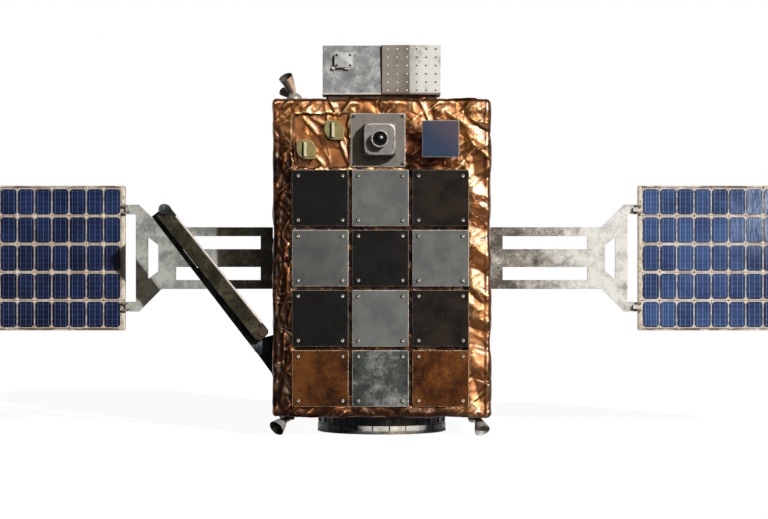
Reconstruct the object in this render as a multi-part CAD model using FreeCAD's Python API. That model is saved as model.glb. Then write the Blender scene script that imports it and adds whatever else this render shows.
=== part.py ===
import FreeCAD, Part
import math
import os

# A small satellite that stands on its separation ring. Millimetres, +Z up.
# The origin is the centre of the ring's lower face. The equipment face looks
# along -Y and the two solar wings reach out along X, turning about one axis.

# Foil-wrapped body
body_width = 523.0
body_depth = 523.0
body_height = 763.0
foil_thick = 5.0
wall_thick = 12.0

# Separation ring
ring_height = 50.0
ring_flange_r = 161.0
ring_wall_r = 156.5
ring_wall_thick = 5.0
ring_inner_r = 138.0
ring_flange_thick = 5.0
ring_seat_r = 158.0
ring_bolt_circle_r = 145.0
ring_bolt_hole_r = 3.3
ring_bolts = 12
shoe_low = 8.0
shoe_high = 20.0
shoe_thick = 3.8
shoes = 24
shoe_gap_deg = 1.2

# Equipment plates on studs in front of the foil
plate_margin_left = 46.75
plate_margin_right = 52.15
plate_margin_low = 24.65
plate_margin_high = 169.95
plate_gap = 8.8
plate_thick = 4.0
plate_standoff = 6.0
bolt_inset = 14.6
stud_r = 5.0

# Camera
camera_x = -4.2
camera_drop = 99.0
camera_plate_x = -8.6
camera_plate_width = 131.5
camera_plate_height = 129.0
camera_plate_thick = 5.0
camera_plate_round = 4.0
housing_side = 77.0
housing_proud = 47.0
housing_round = 13.0
housing_bevel = 7.0
barrel_r = 20.5
barrel_wall = 3.5
barrel_long = 23.0
lens_seat = 14.0

# Square mirror on a post
mirror_x = 140.7
mirror_drop = 98.3
mirror_side = 88.0
mirror_frame_thick = 8.0
mirror_rim = 2.5
mirror_glass_thick = 2.0
mirror_standoff = 56.0
mirror_post_r = 9.0

# Leaf-shaped antenna knobs
knob_side = 46.0
knob_thick = 20.0
knob_standoff = 4.0
knob_neck_r = 12.0
knob_big_round = 24.0
knob_small_round = 5.0
knob_fin_width = 6.0
knob_fin_height = 34.0
knob_fin_proud = 7.0
knob_fin_shift = -3.0

# Two equipment boxes on the top deck
box_width = 141.0
box_height = 118.5
box_depth = 106.0
box_gap = 2.6
box_setback = 29.5
box_lip = 4.0
box_lip_proud = 1.5
foot_height = 13.0
foot_r = 6.0
foot_inset = 14.0
cover_width = 48.0
cover_height = 40.0
cover_inset = 48.0
cover_drop = 39.0
cover_base_thick = 2.0
cover_cap_side = 26.0
cover_cap_thick = 5.0
cover_cap_round = 5.0
ridge_proud = 5.0
ridge_shift = -4.0
box_lean = 6.0
box_step = 4.0
hole_r = 2.4
hole_depth = 3.0
hole_margin_left = 13.5
hole_margin_right = 12.0
hole_margin_low = 9.6
hole_margin_high = 9.9
holes_across = 6
holes_down = 6

# Thrusters
dome_r = 19.0
dome_inset_x = 50.5
dome_inset_y = 46.5
nozzle_wall = 1.4
nozzle_bulge = 0.58
mount_r = 13.0
mount_drop = 10.0
mount_round = 5.0
mount_inset_x = 38.5
mount_inset_y = 46.5

# Wing drives
housing_r = 40.0
housing_flange_r = 55.0
housing_flange_proud = 1.5
housing_long = 50.0
shaft_r = 18.0
shaft_long = 60.0
running_clearance = 0.05
hub_gap = 3.5
hub_r = 45.0
hub_thick = 4.5

# Wing root hinge, behind the yoke
knuckle_r = 7.5
root_pin_r = 4.0
hub_barrel_half = 30.0
knuckle_long = 20.0
side_gap = 0.5
knuckle_clear = 1.0

# Yoke, a flat cut-out plate; leg_end and slot_start are counted out from its root
# edge, the lengths below them run back from the legs' ends, and heights are counted
# from the wing axis
yoke_thick = 8.0
yoke_root_gap = 2.0
arm_half = 77.5
slot_low = 22.5
slot_high = 55.0
slot_start = 30.7
leg_end = 365.0
leg_long = 21.0
leg_width = 24.6
leg_root = 8.3
flare_long = 56.5
flare_half = 134.2
slot_land = 36.2
window_land = 8.5
window_long = 25.2
window_short_half = 32.6
window_tall_half = 52.3

# Solar panel and its cells
panel_gap = 4.7
panel_thick = 12.0
panel_half = 181.5
panel_round = 5.0
cell_width = 39.7
cell_height = 63.4
cell_gap_x = 3.6
cell_gap_z = 7.2
cell_columns = 12
cell_rows = 5
cell_margin = 13.0
cell_thick = 1.5
cell_crop = 5.0

# Panel hinge, in front of the yoke's legs
panel_axis_y = -11.0
panel_barrel_r = 3.5
panel_pin_r = 2.0
lug_half = 5.0
lug_reach = 10.0

# Folded boom on the left side; angles are counted from +X towards +Z
shoulder_reach = 28.5
shoulder_rise = 166.4
lower_angle = 127.5
lower_long = 407.0
lower_width = 40.0
boom_setback = 73.5
arm_thick = 18.0
arm_layer_gap = 6.0
elbow_offset = 16.0
elbow_r = 13.5
elbow_pin_r = 8.0
elbow_overrun = 6.0
elbow_head_thick = 4.7
upper_angle = -51.3
upper_long = 392.0
upper_width = 37.0
slot_in_arm_start = 247.0
slot_in_arm_end = 304.0
slot_in_arm_v = 7.0
slot_in_arm_half = 2.3
shoulder_pin_r = 10.0
shoulder_head_r = 15.0
shoulder_head_thick = 2.7
shoulder_cheek_thick = 12.0
shoulder_base_drop = 68.4
shoulder_base_long = 96.0
shoulder_base_proud = 4.5
end_cap_r = 11.0
end_cap_thick = 3.0
end_cap_inset = 12.0
end_cap_edge = 2.0
layer_clearance = 0.3

# Radiator on the back face
radiator_width = 320.0
radiator_height = 420.0
radiator_thick = 6.0

# Places that follow from the sizes above
half_width = body_width / 2
half_depth = body_depth / 2
body_low = ring_height
body_high = ring_height + body_height
axis_z = ring_height + body_height / 2
wall_x = half_width - foil_thick
wall_y = half_depth - foil_thick
deck_low = body_low + foil_thick
deck_high = body_high - foil_thick
plate_pitch_x = (body_width - plate_margin_left - plate_margin_right + plate_gap) / 3
plate_pitch_z = (body_height - plate_margin_low - plate_margin_high + plate_gap) / 4
plate_width = plate_pitch_x - plate_gap
plate_height = plate_pitch_z - plate_gap
camera_z = body_high - camera_drop
mirror_z = body_high - mirror_drop
box_front_y = box_setback - half_depth
dome_x = dome_inset_x - half_width
dome_y = dome_inset_y - half_depth
mount_x = half_width - mount_inset_x
mount_y = half_depth - mount_inset_y
shoulder_x = -half_width - shoulder_reach
shoulder_z = body_low + shoulder_rise
shoulder_base_low = shoulder_z - shoulder_base_drop
shoulder_base_high = shoulder_base_low + shoulder_base_long
lower_back_y = boom_setback - half_depth
leg_half_low = flare_half - leg_width
hole_room = 0.5
bite = 1.0

DOWN = FreeCAD.Vector(0, 0, -1)
UP = FreeCAD.Vector(0, 0, 1)
FORWARD = FreeCAD.Vector(0, -1, 0)
BACK = FreeCAD.Vector(0, 1, 0)
RIGHT = FreeCAD.Vector(1, 0, 0)


def vec(x, y, z):
    return FreeCAD.Vector(x, y, z)


def block(x0, x1, y0, y1, z0, z1):
    return Part.makeBox(x1 - x0, y1 - y0, z1 - z0, vec(x0, y0, z0))


def rod(x, y, z, direction, radius, length):
    return Part.makeCylinder(radius, length, vec(x, y, z), direction)


def slab(points, y0, y1):
    """A flat plate: an outline of (x, z) corners, from y0 to y1."""
    wire = Part.makePolygon([vec(x, y0, z) for x, z in points + points[:1]])
    return Part.Face(wire).extrude(vec(0, y1 - y0, 0))


def fused(first, others):
    return first.fuse(list(others)).removeSplitter()


def pierced(shape, cutters):
    return shape.cut(list(cutters))


def round_edges(shape, radius, direction):
    """Rounds the straight edges that run along a direction."""
    def runs_along(edge):
        if edge.Curve.TypeId != "Part::GeomLine":
            return False
        return abs(edge.tangentAt(edge.FirstParameter).dot(direction)) > 0.999
    return shape.makeFillet(radius, [e for e in shape.Edges if runs_along(e)])


def left_of(shape):
    return shape.mirror(vec(0, 0, 0), RIGHT)


def save(node, solids):
    whole = solids[0] if len(solids) == 1 else Part.makeCompound(solids)
    whole.exportStep("parts/%s.step" % node)


def plate_centre(column, row):
    """Centre (x, z) of an equipment plate; columns count from the left, rows from the top."""
    x = -half_width + plate_margin_left + plate_width / 2 + column * plate_pitch_x
    z = body_high - plate_margin_high - plate_height / 2 - row * plate_pitch_z
    return (x, z)


def front_studs():
    """Centres of the studs that carry the equipment and camera plates."""
    centres = []
    across = plate_width / 2 - bolt_inset
    up = plate_height / 2 - bolt_inset
    for column in range(3):
        for row in range(4):
            x, z = plate_centre(column, row)
            centres += [(x + i * across, z + j * up) for i in (-1, 1) for j in (-1, 1)]
    across = camera_plate_width / 2 - bolt_inset / 2
    up = camera_plate_height / 2 - bolt_inset / 2
    for i in (-1, 1):
        centres += [(camera_plate_x + i * across, camera_z + j * up) for j in (-1, 1)]
    return centres


def back_studs():
    across = radiator_width / 2 - bolt_inset
    up = radiator_height / 2 - bolt_inset
    return [(i * across, axis_z + j * up) for i in (-1, 1) for j in (-1, 1)]


def box_feet():
    """Centres of the feet under the two boxes on the top deck."""
    left = (-box_gap / 2 - box_width, -box_gap / 2)
    right = (box_gap / 2, box_gap / 2 + box_width)
    rows = (box_front_y + foot_inset, box_front_y + box_depth - foot_inset)
    across = [x for low, high in (left, right) for x in (low + foot_inset, high - foot_inset)]
    return [(x, y) for x in across for y in rows]


def thruster_mounts():
    return [(i * mount_x, j * mount_y) for i in (-1, 1) for j in (-1, 1)]


# x, drop below the body's top: the two leaf-shaped knobs
knob_places = [
    (-113.1, 75.6),
    (-179.8, 121.7),
]
knobs = [(x, body_high - drop) for x, drop in knob_places]


def make_body():
    """Four wall panels, which stand between the two decks, with the plates' studs."""
    low = deck_low + wall_thick
    high = deck_high - wall_thick
    inner_x = wall_x - wall_thick
    inner_y = wall_y - wall_thick
    side_y = inner_y - layer_clearance
    stud_long = bite + foil_thick + plate_standoff
    front = block(-wall_x, wall_x, -wall_y, -inner_y, low, high)
    front_pins = [rod(x, -wall_y + bite, z, FORWARD, stud_r, stud_long) for x, z in front_studs()]
    back = block(-wall_x, wall_x, inner_y, wall_y, low, high)
    back_pins = [rod(x, wall_y - bite, z, BACK, stud_r, stud_long) for x, z in back_studs()]
    drive_hole = rod(0, 0, axis_z, RIGHT, housing_r + layer_clearance, body_width)
    side = pierced(block(inner_x, wall_x, -side_y, side_y, low, high), [drive_hole])
    walls = [fused(front, front_pins), fused(back, back_pins), side, left_of(side)]
    save("bus_walls", walls)
    save("bus_deck_top", [block(-wall_x, wall_x, -wall_y, wall_y, high, deck_high)])
    save("bus_deck_bottom", [block(-wall_x, wall_x, -wall_y, wall_y, deck_low, low)])


def make_foil():
    room = stud_r + hole_room
    front_holes = [rod(x, 0, z, FORWARD, room, body_depth) for x, z in front_studs()]
    post_room = mirror_post_r + hole_room
    front_holes.append(rod(mirror_x, 0, mirror_z, FORWARD, post_room, body_depth))
    neck_room = knob_neck_r + hole_room
    front_holes += [rod(x, 0, z, FORWARD, neck_room, body_depth) for x, z in knobs]
    sheet = block(-half_width, half_width, -half_depth, -wall_y, body_low, body_high)
    save("foil_front", [pierced(sheet, front_holes)])

    back_holes = [rod(x, 0, z, BACK, room, body_depth) for x, z in back_studs()]
    sheet = block(-half_width, half_width, wall_y, half_depth, body_low, body_high)
    save("foil_back", [pierced(sheet, back_holes)])

    drive_hole = rod(0, 0, axis_z, RIGHT, housing_flange_r + hole_room, body_width)
    sheet = block(wall_x, half_width, -wall_y, wall_y, body_low, body_high)
    save("foil_right", [pierced(sheet, [drive_hole])])
    base = shoulder_base(hole_room)
    save("foil_left", [pierced(left_of(pierced(sheet, [drive_hole])), [base])])

    foot_room = foot_r + hole_room
    top_holes = [rod(x, y, deck_high, UP, foot_room, foil_thick) for x, y in box_feet()]
    top_holes.append(rod(dome_x, dome_y, deck_high, UP, dome_r + hole_room, foil_thick))
    sheet = block(-wall_x, wall_x, -wall_y, wall_y, deck_high, body_high)
    save("foil_top", [pierced(sheet, top_holes)])

    mount_room = mount_r + hole_room
    bottom_holes = [rod(x, y, body_low, UP, mount_room, foil_thick) for x, y in thruster_mounts()]
    bottom_holes.append(rod(0, 0, body_low, UP, ring_seat_r + hole_room, foil_thick))
    sheet = block(-wall_x, wall_x, -wall_y, wall_y, body_low, deck_low)
    save("foil_bottom", [pierced(sheet, bottom_holes)])


def make_plates():
    """Twelve square plates in four rows of three, grouped by finish."""
    # finish of each plate, row by row from the top
    rows = [
        ("dark", "light", "dark"),
        ("light", "dark", "light"),
        ("dark", "light", "dark"),
        ("copper", "silver", "copper"),
    ]
    back = -half_depth - plate_standoff
    groups = {}
    for row, finishes in enumerate(rows):
        for column, finish in enumerate(finishes):
            x, z = plate_centre(column, row)
            plate = block(x - plate_width / 2, x + plate_width / 2, back - plate_thick, back,
                          z - plate_height / 2, z + plate_height / 2)
            groups.setdefault(finish, []).append(plate)
    for finish, plates in groups.items():
        save("plates_%s" % finish, plates)

    back = half_depth + plate_standoff
    x, z = radiator_width / 2, radiator_height / 2
    save("rear_radiator", [block(-x, x, back, back + radiator_thick, axis_z - z, axis_z + z)])


def make_camera():
    back = -half_depth - plate_standoff
    front = back - camera_plate_thick
    x, z = camera_plate_width / 2, camera_plate_height / 2
    plate = block(camera_plate_x - x, camera_plate_x + x, front, back, camera_z - z, camera_z + z)
    save("camera_plate", [round_edges(plate, camera_plate_round, BACK)])

    half = housing_side / 2
    face = front - housing_proud
    body = block(camera_x - half, camera_x + half, face, front, camera_z - half, camera_z + half)
    body = round_edges(body, housing_round, BACK)
    rim = [e for e in body.Edges if abs(e.CenterOfMass.y - face) < 0.01]
    save("camera_housing", [body.makeChamfer(housing_bevel, rim)])

    barrel = rod(camera_x, face, camera_z, FORWARD, barrel_r, barrel_long)
    bore_r = barrel_r - barrel_wall
    bore = rod(camera_x, face, camera_z, FORWARD, bore_r, barrel_long)
    save("camera_barrel", [barrel.cut(bore)])

    lens_r = bore_r - layer_clearance
    plug = rod(camera_x, face, camera_z, FORWARD, lens_r, lens_seat)
    ball = Part.makeSphere(lens_r, vec(camera_x, face - lens_seat, camera_z), FORWARD, 0, 90, 360)
    save("camera_lens", [fused(plug, [ball])])


def make_mirror():
    back = -half_depth - mirror_standoff
    front = back - mirror_frame_thick
    half = mirror_side / 2
    frame = block(mirror_x - half, mirror_x + half, front, back, mirror_z - half, mirror_z + half)
    post_long = foil_thick + mirror_standoff + bite
    post = rod(mirror_x, -wall_y, mirror_z, FORWARD, mirror_post_r, post_long)
    save("mirror_frame", [fused(frame, [post])])
    half -= mirror_rim
    glass = block(mirror_x - half, mirror_x + half, front - mirror_glass_thick, front,
                  mirror_z - half, mirror_z + half)
    save("mirror_glass", [glass])


def leaf(x, z, y0, y1):
    """A square block whose upper right and lower left corners are well rounded."""
    half = knob_side / 2
    body = block(x - half, x + half, y1, y0, z - half, z + half)
    upright = [e for e in body.Edges if abs(e.tangentAt(e.FirstParameter).y) > 0.999]
    def is_big(edge):
        return (edge.CenterOfMass.x - x) * (edge.CenterOfMass.z - z) > 0
    body = body.makeFillet(knob_big_round, [e for e in upright if is_big(e)])
    upright = [e for e in body.Edges
               if e.Curve.TypeId == "Part::GeomLine"
               and abs(e.tangentAt(e.FirstParameter).y) > 0.999
               and abs(abs(e.CenterOfMass.x - x) - half) < 0.01
               and abs(abs(e.CenterOfMass.z - z) - half) < 0.01]
    return body.makeFillet(knob_small_round, upright)


def make_knobs():
    back = -half_depth - knob_standoff
    front = back - knob_thick
    solids = []
    neck_long = foil_thick + knob_standoff + bite
    for x, z in knobs:
        neck = rod(x, -wall_y, z, FORWARD, knob_neck_r, neck_long)
        mid = x + knob_fin_shift
        fin = block(mid - knob_fin_width / 2, mid + knob_fin_width / 2,
                    front - knob_fin_proud, front + bite,
                    z - knob_fin_height / 2, z + knob_fin_height / 2)
        solids.append(fused(leaf(x, z, back, front), [neck, fin]))
    save("antenna_knobs", solids)


def make_top_boxes():
    low = body_high + foot_height
    high = low + box_height
    back_y = box_front_y + box_depth
    x1 = -box_gap / 2
    x0 = x1 - box_width
    body = block(x0, x1, box_front_y, back_y, low, high)
    lip = block(x0 - box_lip_proud, x1, box_front_y - box_lip_proud, back_y, low, low + box_lip)
    save("top_box_plain", [fused(body, [lip])])

    # the raised cover sits in the plain box's upper left quarter
    cover_x = x0 + cover_inset
    cover_z = high - cover_drop
    base = block(cover_x - cover_width / 2, cover_x + cover_width / 2,
                 box_front_y - cover_base_thick, box_front_y,
                 cover_z - cover_height / 2, cover_z + cover_height / 2)
    cap_front = box_front_y - cover_base_thick - cover_cap_thick
    cap = block(cover_x - cover_cap_side / 2, cover_x + cover_cap_side / 2,
                cap_front, box_front_y - cover_base_thick + bite,
                cover_z - cover_cap_side / 2, cover_z + cover_cap_side / 2)
    save("top_box_cover", [fused(base, [round_edges(cap, cover_cap_round, BACK)])])

    # the perforated box leans forward at its top and has a low ridge down its face
    x0 = box_gap / 2
    x1 = x0 + box_width
    ridge = (x0 + x1) / 2 + ridge_shift
    face = box_front_y - box_step
    outline = [(x0, face), (ridge, face - ridge_proud), (x1, face)]
    corners = []
    for z, shift in ((low, 0.0), (high, -box_lean)):
        ring = [vec(x, y + shift, z) for x, y in outline]
        ring += [vec(x1, back_y, z), vec(x0, back_y, z)]
        corners.append(Part.makePolygon(ring + ring[:1]))
    body = Part.makeLoft(corners, True, True)
    # half of the columns of holes stand on each side of the ridge
    pitch_x = (box_width - hole_margin_left - hole_margin_right) / (holes_across - 1)
    pitch_z = (box_height - hole_margin_low - hole_margin_high) / (holes_down - 1)
    holes = []
    for column in range(holes_across):
        x = x0 + hole_margin_left + column * pitch_x
        off = (x - x0) / (ridge - x0) if x < ridge else (x1 - x) / (x1 - ridge)
        for row in range(holes_down):
            rise = hole_margin_low + row * pitch_z
            y = face - ridge_proud * off - box_lean * rise / box_height
            holes.append(rod(x, y + hole_depth, low + rise, FORWARD, hole_r, 2 * hole_depth))
    save("top_box_perforated", [pierced(body, holes)])

    feet = [rod(x, y, deck_high, UP, foot_r, foil_thick + foot_height) for x, y in box_feet()]
    save("top_box_feet", feet)


def nozzle(start, direction, throat_r, mouth_r, length, stem):
    """A thin bell, open at its mouth, on a stem that runs back from the throat."""
    mid_r = throat_r + nozzle_bulge * (mouth_r - throat_r)
    w = nozzle_wall
    lip = [vec(mouth_r, 0, length), vec(mouth_r - w, 0, length)]
    # the solid throat and stem, from the bell's inner foot round to its outer foot
    stem_line = [
        vec(throat_r - w, 0, 2 * w), vec(0, 0, 2 * w), vec(0, 0, -stem),
        vec(throat_r, 0, -stem), vec(throat_r, 0, 0),
    ]
    outer = Part.Arc(stem_line[-1], vec(mid_r, 0, length / 2), lip[0]).toShape()
    inner = Part.Arc(lip[1], vec(mid_r - w, 0, length / 2), stem_line[0]).toShape()
    edges = [outer, Part.makeLine(*lip), inner]
    edges += [Part.makeLine(a, b) for a, b in zip(stem_line, stem_line[1:])]
    face = Part.Face(Part.Wire(Part.__sortEdges__(edges)))
    bell = face.revolve(vec(0, 0, 0), UP, 360)
    turn = FreeCAD.Rotation(UP, vec(*direction))
    bell.Placement = FreeCAD.Placement(vec(*start), turn)
    return bell


def make_thrusters():
    neck = rod(dome_x, dome_y, deck_high, UP, dome_r, foil_thick)
    dome = fused(neck, [Part.makeSphere(dome_r, vec(dome_x, dome_y, body_high), UP, 0, 90, 360)])
    save("thruster_dome", [dome])
    # start from the dome's centre, direction, throat radius, mouth radius, length, stem
    bells = [
        ((-1.2, 0.0, 16.0), (-0.38, -0.50, 0.78), 6.0, 17.3, 50.0, 8.0),
        ((-12.0, 6.0, 11.0), (-0.62, 0.55, 0.46), 5.0, 11.0, 26.0, 8.0),
    ]
    solids = []
    for (out, back, up), direction, throat_r, mouth_r, length, stem in bells:
        start = (dome_x + out, dome_y + back, body_high + up)
        bell = nozzle(start, direction, throat_r, mouth_r, length, stem).cut(dome)
        solids.append(max(bell.Solids, key=lambda solid: solid.Volume))
    save("thruster_top_bells", solids)

    mounts = []
    for x, y in thruster_mounts():
        mount = rod(x, y, deck_low, DOWN, mount_r, foil_thick + mount_drop)
        rim = [e for e in mount.Edges if e.CenterOfMass.z < body_low - mount_drop + 0.01]
        mounts.append(mount.makeFillet(mount_round, rim))
    save("thruster_mounts", mounts)
    # side, outward shift of the throat, its drop below the body, direction (out, ahead, up),
    # throat radius, mouth radius, length, stem
    sides = {
        -1: (10.0, 9.0, (0.549, 0.643, -0.535), 6.0, 20.0, 37.0, 6.5),
        1: (10.0, 7.0, (0.270, 0.620, -0.735), 6.0, 19.0, 37.0, 3.8),
    }
    bells = []
    for (x, y), mount in zip(thruster_mounts(), mounts):
        side = 1 if x > 0 else -1
        end = 1 if y > 0 else -1
        shift, drop, (out, ahead, up), throat_r, mouth_r, length, stem = sides[side]
        start = (x + side * shift, y, body_low - drop)
        direction = (side * out, end * ahead, up)
        bell = nozzle(start, direction, throat_r, mouth_r, length, stem).cut(mount)
        bells.append(max(bell.Solids, key=lambda solid: solid.Volume))
    save("thruster_bells", bells)


def make_ring():
    inner_wall_r = ring_wall_r - ring_wall_thick
    # radius, height: the ring's section
    section = [
        (ring_inner_r, 0), (ring_flange_r, 0), (ring_flange_r, ring_flange_thick),
        (ring_wall_r, ring_flange_thick), (ring_wall_r, ring_height),
        (ring_seat_r, ring_height), (ring_seat_r, deck_low),
        (ring_inner_r, deck_low), (ring_inner_r, ring_height),
        (inner_wall_r, ring_height), (inner_wall_r, ring_flange_thick),
        (ring_inner_r, ring_flange_thick),
    ]
    wire = Part.makePolygon([vec(r, 0, z) for r, z in section + section[:1]])
    ring = Part.Face(wire).revolve(vec(0, 0, 0), UP, 360)
    holes = []
    for i in range(ring_bolts):
        angle = 2 * math.pi * (i + 0.5) / ring_bolts
        x = ring_bolt_circle_r * math.cos(angle)
        y = ring_bolt_circle_r * math.sin(angle)
        holes.append(rod(x, y, -bite, UP, ring_bolt_hole_r, ring_flange_thick + 2 * bite))
    save("separation_ring", [pierced(ring, holes)])

    pitch = 360.0 / shoes
    low = vec(0, 0, shoe_low)
    tall = shoe_high - shoe_low
    shoe_list = []
    for i in range(shoes):
        outer = Part.makeCylinder(ring_wall_r + shoe_thick, tall, low, UP, pitch - shoe_gap_deg)
        shoe = outer.cut(Part.makeCylinder(ring_wall_r, tall, low, UP))
        shoe.rotate(vec(0, 0, 0), UP, (i + 0.5) * pitch)
        shoe_list.append(shoe)
    save("clamp_shoes", shoe_list)


# Wing, built for the right side and mirrored for the left
housing_face = half_width + housing_flange_proud
hub_back = housing_face + hub_gap
hub_face = hub_back + hub_thick
root_axis_x = hub_face + knuckle_r + knuckle_clear
root_axis_y = yoke_thick / 2 + knuckle_r + knuckle_clear
yoke_root = hub_face + yoke_root_gap
yoke_tip = yoke_root + leg_end
leg_start = yoke_tip - leg_long
flare_end = leg_start - leg_root
flare_start = flare_end - flare_long
window_start = flare_start + window_land
window_end = window_start + window_long
slot_end = flare_start - slot_land
panel_start = yoke_tip + panel_gap
panel_axis_x = yoke_tip + panel_gap / 2
cells_long = cell_columns * (cell_width + cell_gap_x) - cell_gap_x
panel_end = panel_start + 2 * cell_margin + cells_long


def drive_housing():
    inner_end = housing_face - housing_flange_proud - foil_thick - housing_long
    body = rod(inner_end, 0, axis_z, RIGHT, housing_r, housing_long)
    flange = rod(wall_x, 0, axis_z, RIGHT, housing_flange_r, housing_face - wall_x)
    bore = rod(inner_end, 0, axis_z, RIGHT, shaft_r + running_clearance, body_width)
    return fused(body, [flange]).cut(bore)


def drive_hub():
    disc = rod(hub_back, 0, axis_z, RIGHT, hub_r, hub_thick)
    shaft = rod(hub_face - shaft_long, 0, axis_z, RIGHT, shaft_r, shaft_long)
    lug = block(hub_face - bite, root_axis_x, root_axis_y - knuckle_r, root_axis_y + knuckle_r,
                axis_z - hub_barrel_half, axis_z + hub_barrel_half)
    barrel = rod(root_axis_x, root_axis_y, axis_z - hub_barrel_half, UP, knuckle_r, 2 * hub_barrel_half)
    pin_half = hub_barrel_half + side_gap + knuckle_long
    pin = rod(root_axis_x, root_axis_y, axis_z - pin_half, UP, root_pin_r, 2 * pin_half)
    return fused(disc, [shaft, lug, barrel, pin])


def yoke():
    upper = [
        (yoke_tip, leg_half_low), (yoke_tip, flare_half), (flare_end, flare_half),
        (flare_start, arm_half), (yoke_root, arm_half),
    ]
    lower = [(x, -z) for x, z in reversed(upper)]
    outline = [(leg_start, leg_half_low)] + upper + lower + [(leg_start, -leg_half_low)]
    plate = slab([(x, axis_z + z) for x, z in outline], -yoke_thick / 2, yoke_thick / 2)
    openings = []
    for side in (-1, 1):
        low, high = sorted((side * slot_low, side * slot_high))
        openings.append(block(yoke_root + slot_start, slot_end, -yoke_thick, yoke_thick,
                              axis_z + low, axis_z + high))
    window = [
        (window_start, -window_short_half), (window_end, -window_tall_half),
        (window_end, window_tall_half), (window_start, window_short_half),
    ]
    openings.append(slab([(x, axis_z + z) for x, z in window], -yoke_thick, yoke_thick))
    plate = pierced(plate, openings)
    knuckles = []
    for side in (-1, 1):
        near = side * (hub_barrel_half + side_gap)
        far = side * (hub_barrel_half + side_gap + knuckle_long)
        low, high = sorted((axis_z + near, axis_z + far))
        web = block(root_axis_x, root_axis_x + 2 * knuckle_r,
                    yoke_thick / 2 - bite, root_axis_y, low, high)
        barrel = rod(root_axis_x, root_axis_y, low, UP, knuckle_r, knuckle_long)
        knuckles += [web, barrel]
    bore = rod(root_axis_x, root_axis_y, 0, UP, root_pin_r + running_clearance, 2 * axis_z)
    return fused(plate, knuckles).cut(bore)


def leg_centres():
    mid = (flare_half + leg_half_low) / 2
    return (axis_z - mid, axis_z + mid)


def hinge_lugs():
    """The dark lugs on the yoke's legs, each with its pin."""
    solids = []
    for z in leg_centres():
        front = panel_axis_y - panel_barrel_r
        lug = block(panel_axis_x - lug_reach, panel_axis_x, front, -yoke_thick / 2,
                    z - lug_half, z + lug_half)
        barrel = rod(panel_axis_x, panel_axis_y, z - lug_half, UP, panel_barrel_r, 2 * lug_half)
        pin_half = leg_width / 2 - side_gap
        pin = rod(panel_axis_x, panel_axis_y, z - pin_half, UP, panel_pin_r, 2 * pin_half)
        # the lug stands clear of the leg's end, so that the panel's edge can pass
        relief = block(yoke_tip, panel_axis_x + bite, panel_axis_y + panel_barrel_r, 0,
                       z - lug_half, z + lug_half)
        solids.append(fused(lug, [barrel, pin]).cut(relief))
    return solids


def hinge_knuckles():
    """The dark knuckles on the panel's edge, two at each lug."""
    solids = []
    for z in leg_centres():
        for side in (-1, 1):
            near = z + side * (lug_half + side_gap)
            far = z + side * (leg_width / 2 - side_gap)
            low, high = sorted((near, far))
            front = panel_axis_y - panel_barrel_r
            web = block(panel_axis_x, panel_axis_x + lug_reach, front, -panel_thick / 2, low, high)
            barrel = rod(panel_axis_x, panel_axis_y, low, UP, panel_barrel_r, high - low)
            relief = block(panel_axis_x - bite, panel_start, panel_axis_y + panel_barrel_r, 0,
                           low, high)
            bore_r = panel_pin_r + running_clearance
            bore = rod(panel_axis_x, panel_axis_y, low - bite, UP, bore_r, high - low + 2 * bite)
            solids.append(fused(web, [barrel]).cut([relief, bore]))
    return solids


def panel():
    half = panel_thick / 2
    body = block(panel_start, panel_end, -half, half, axis_z - panel_half, axis_z + panel_half)
    return round_edges(body, panel_round, BACK)


def cells():
    """One thin glass tile for each cell, with cropped corners."""
    pitch_x = cell_width + cell_gap_x
    pitch_z = cell_height + cell_gap_z
    first_z = axis_z - (cell_rows * pitch_z - cell_gap_z) / 2
    front = -panel_thick / 2 - cell_thick
    c = cell_crop
    w = cell_width
    h = cell_height
    corners = [(c, 0), (w - c, 0), (w, c), (w, h - c), (w - c, h), (c, h), (0, h - c), (0, c)]
    tiles = []
    for column in range(cell_columns):
        for row in range(cell_rows):
            x = panel_start + cell_margin + column * pitch_x
            z = first_z + row * pitch_z
            tiles.append(slab([(x + i, z + j) for i, j in corners], -panel_thick / 2, front))
    return tiles


def make_wings():
    pieces = {
        "drive_housing": [drive_housing()],
        "drive_hub": [drive_hub()],
        "yoke": [yoke()],
        "hinge_lugs": hinge_lugs(),
        "hinge_knuckles": hinge_knuckles(),
        "panel": [panel()],
        "cells": cells(),
    }
    for name, solids in pieces.items():
        save("%s_right" % name, solids)
        save("%s_left" % name, [left_of(solid) for solid in solids])


# Boom: two flat bars in two layers, one in front of the other
lower_front_y = lower_back_y - arm_thick
upper_back_y = lower_front_y - arm_layer_gap
upper_front_y = upper_back_y - arm_thick


def from_pivot(x, z, angle, u, v):
    """A point u along a bar from its pivot and v to the left of it."""
    a = math.radians(angle)
    return (x + u * math.cos(a) - v * math.sin(a), z + u * math.sin(a) + v * math.cos(a))


def bar(x, z, angle, u0, u1, v0, v1, y0, y1):
    corners = [(u0, v0), (u1, v0), (u1, v1), (u0, v1)]
    return slab([from_pivot(x, z, angle, u, v) for u, v in corners], y0, y1)


elbow_x, elbow_z = from_pivot(shoulder_x, shoulder_z, lower_angle, lower_long, -elbow_offset)


def shoulder_base(room):
    """The bracket's foot on the body's side wall, grown by room for the foil's hole."""
    y0 = lower_back_y + layer_clearance - room
    y1 = lower_back_y + layer_clearance + shoulder_cheek_thick + room
    return block(-half_width - shoulder_base_proud, -wall_x, y0 - arm_thick, y1,
                 shoulder_base_low - room, shoulder_base_high + room)


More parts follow.
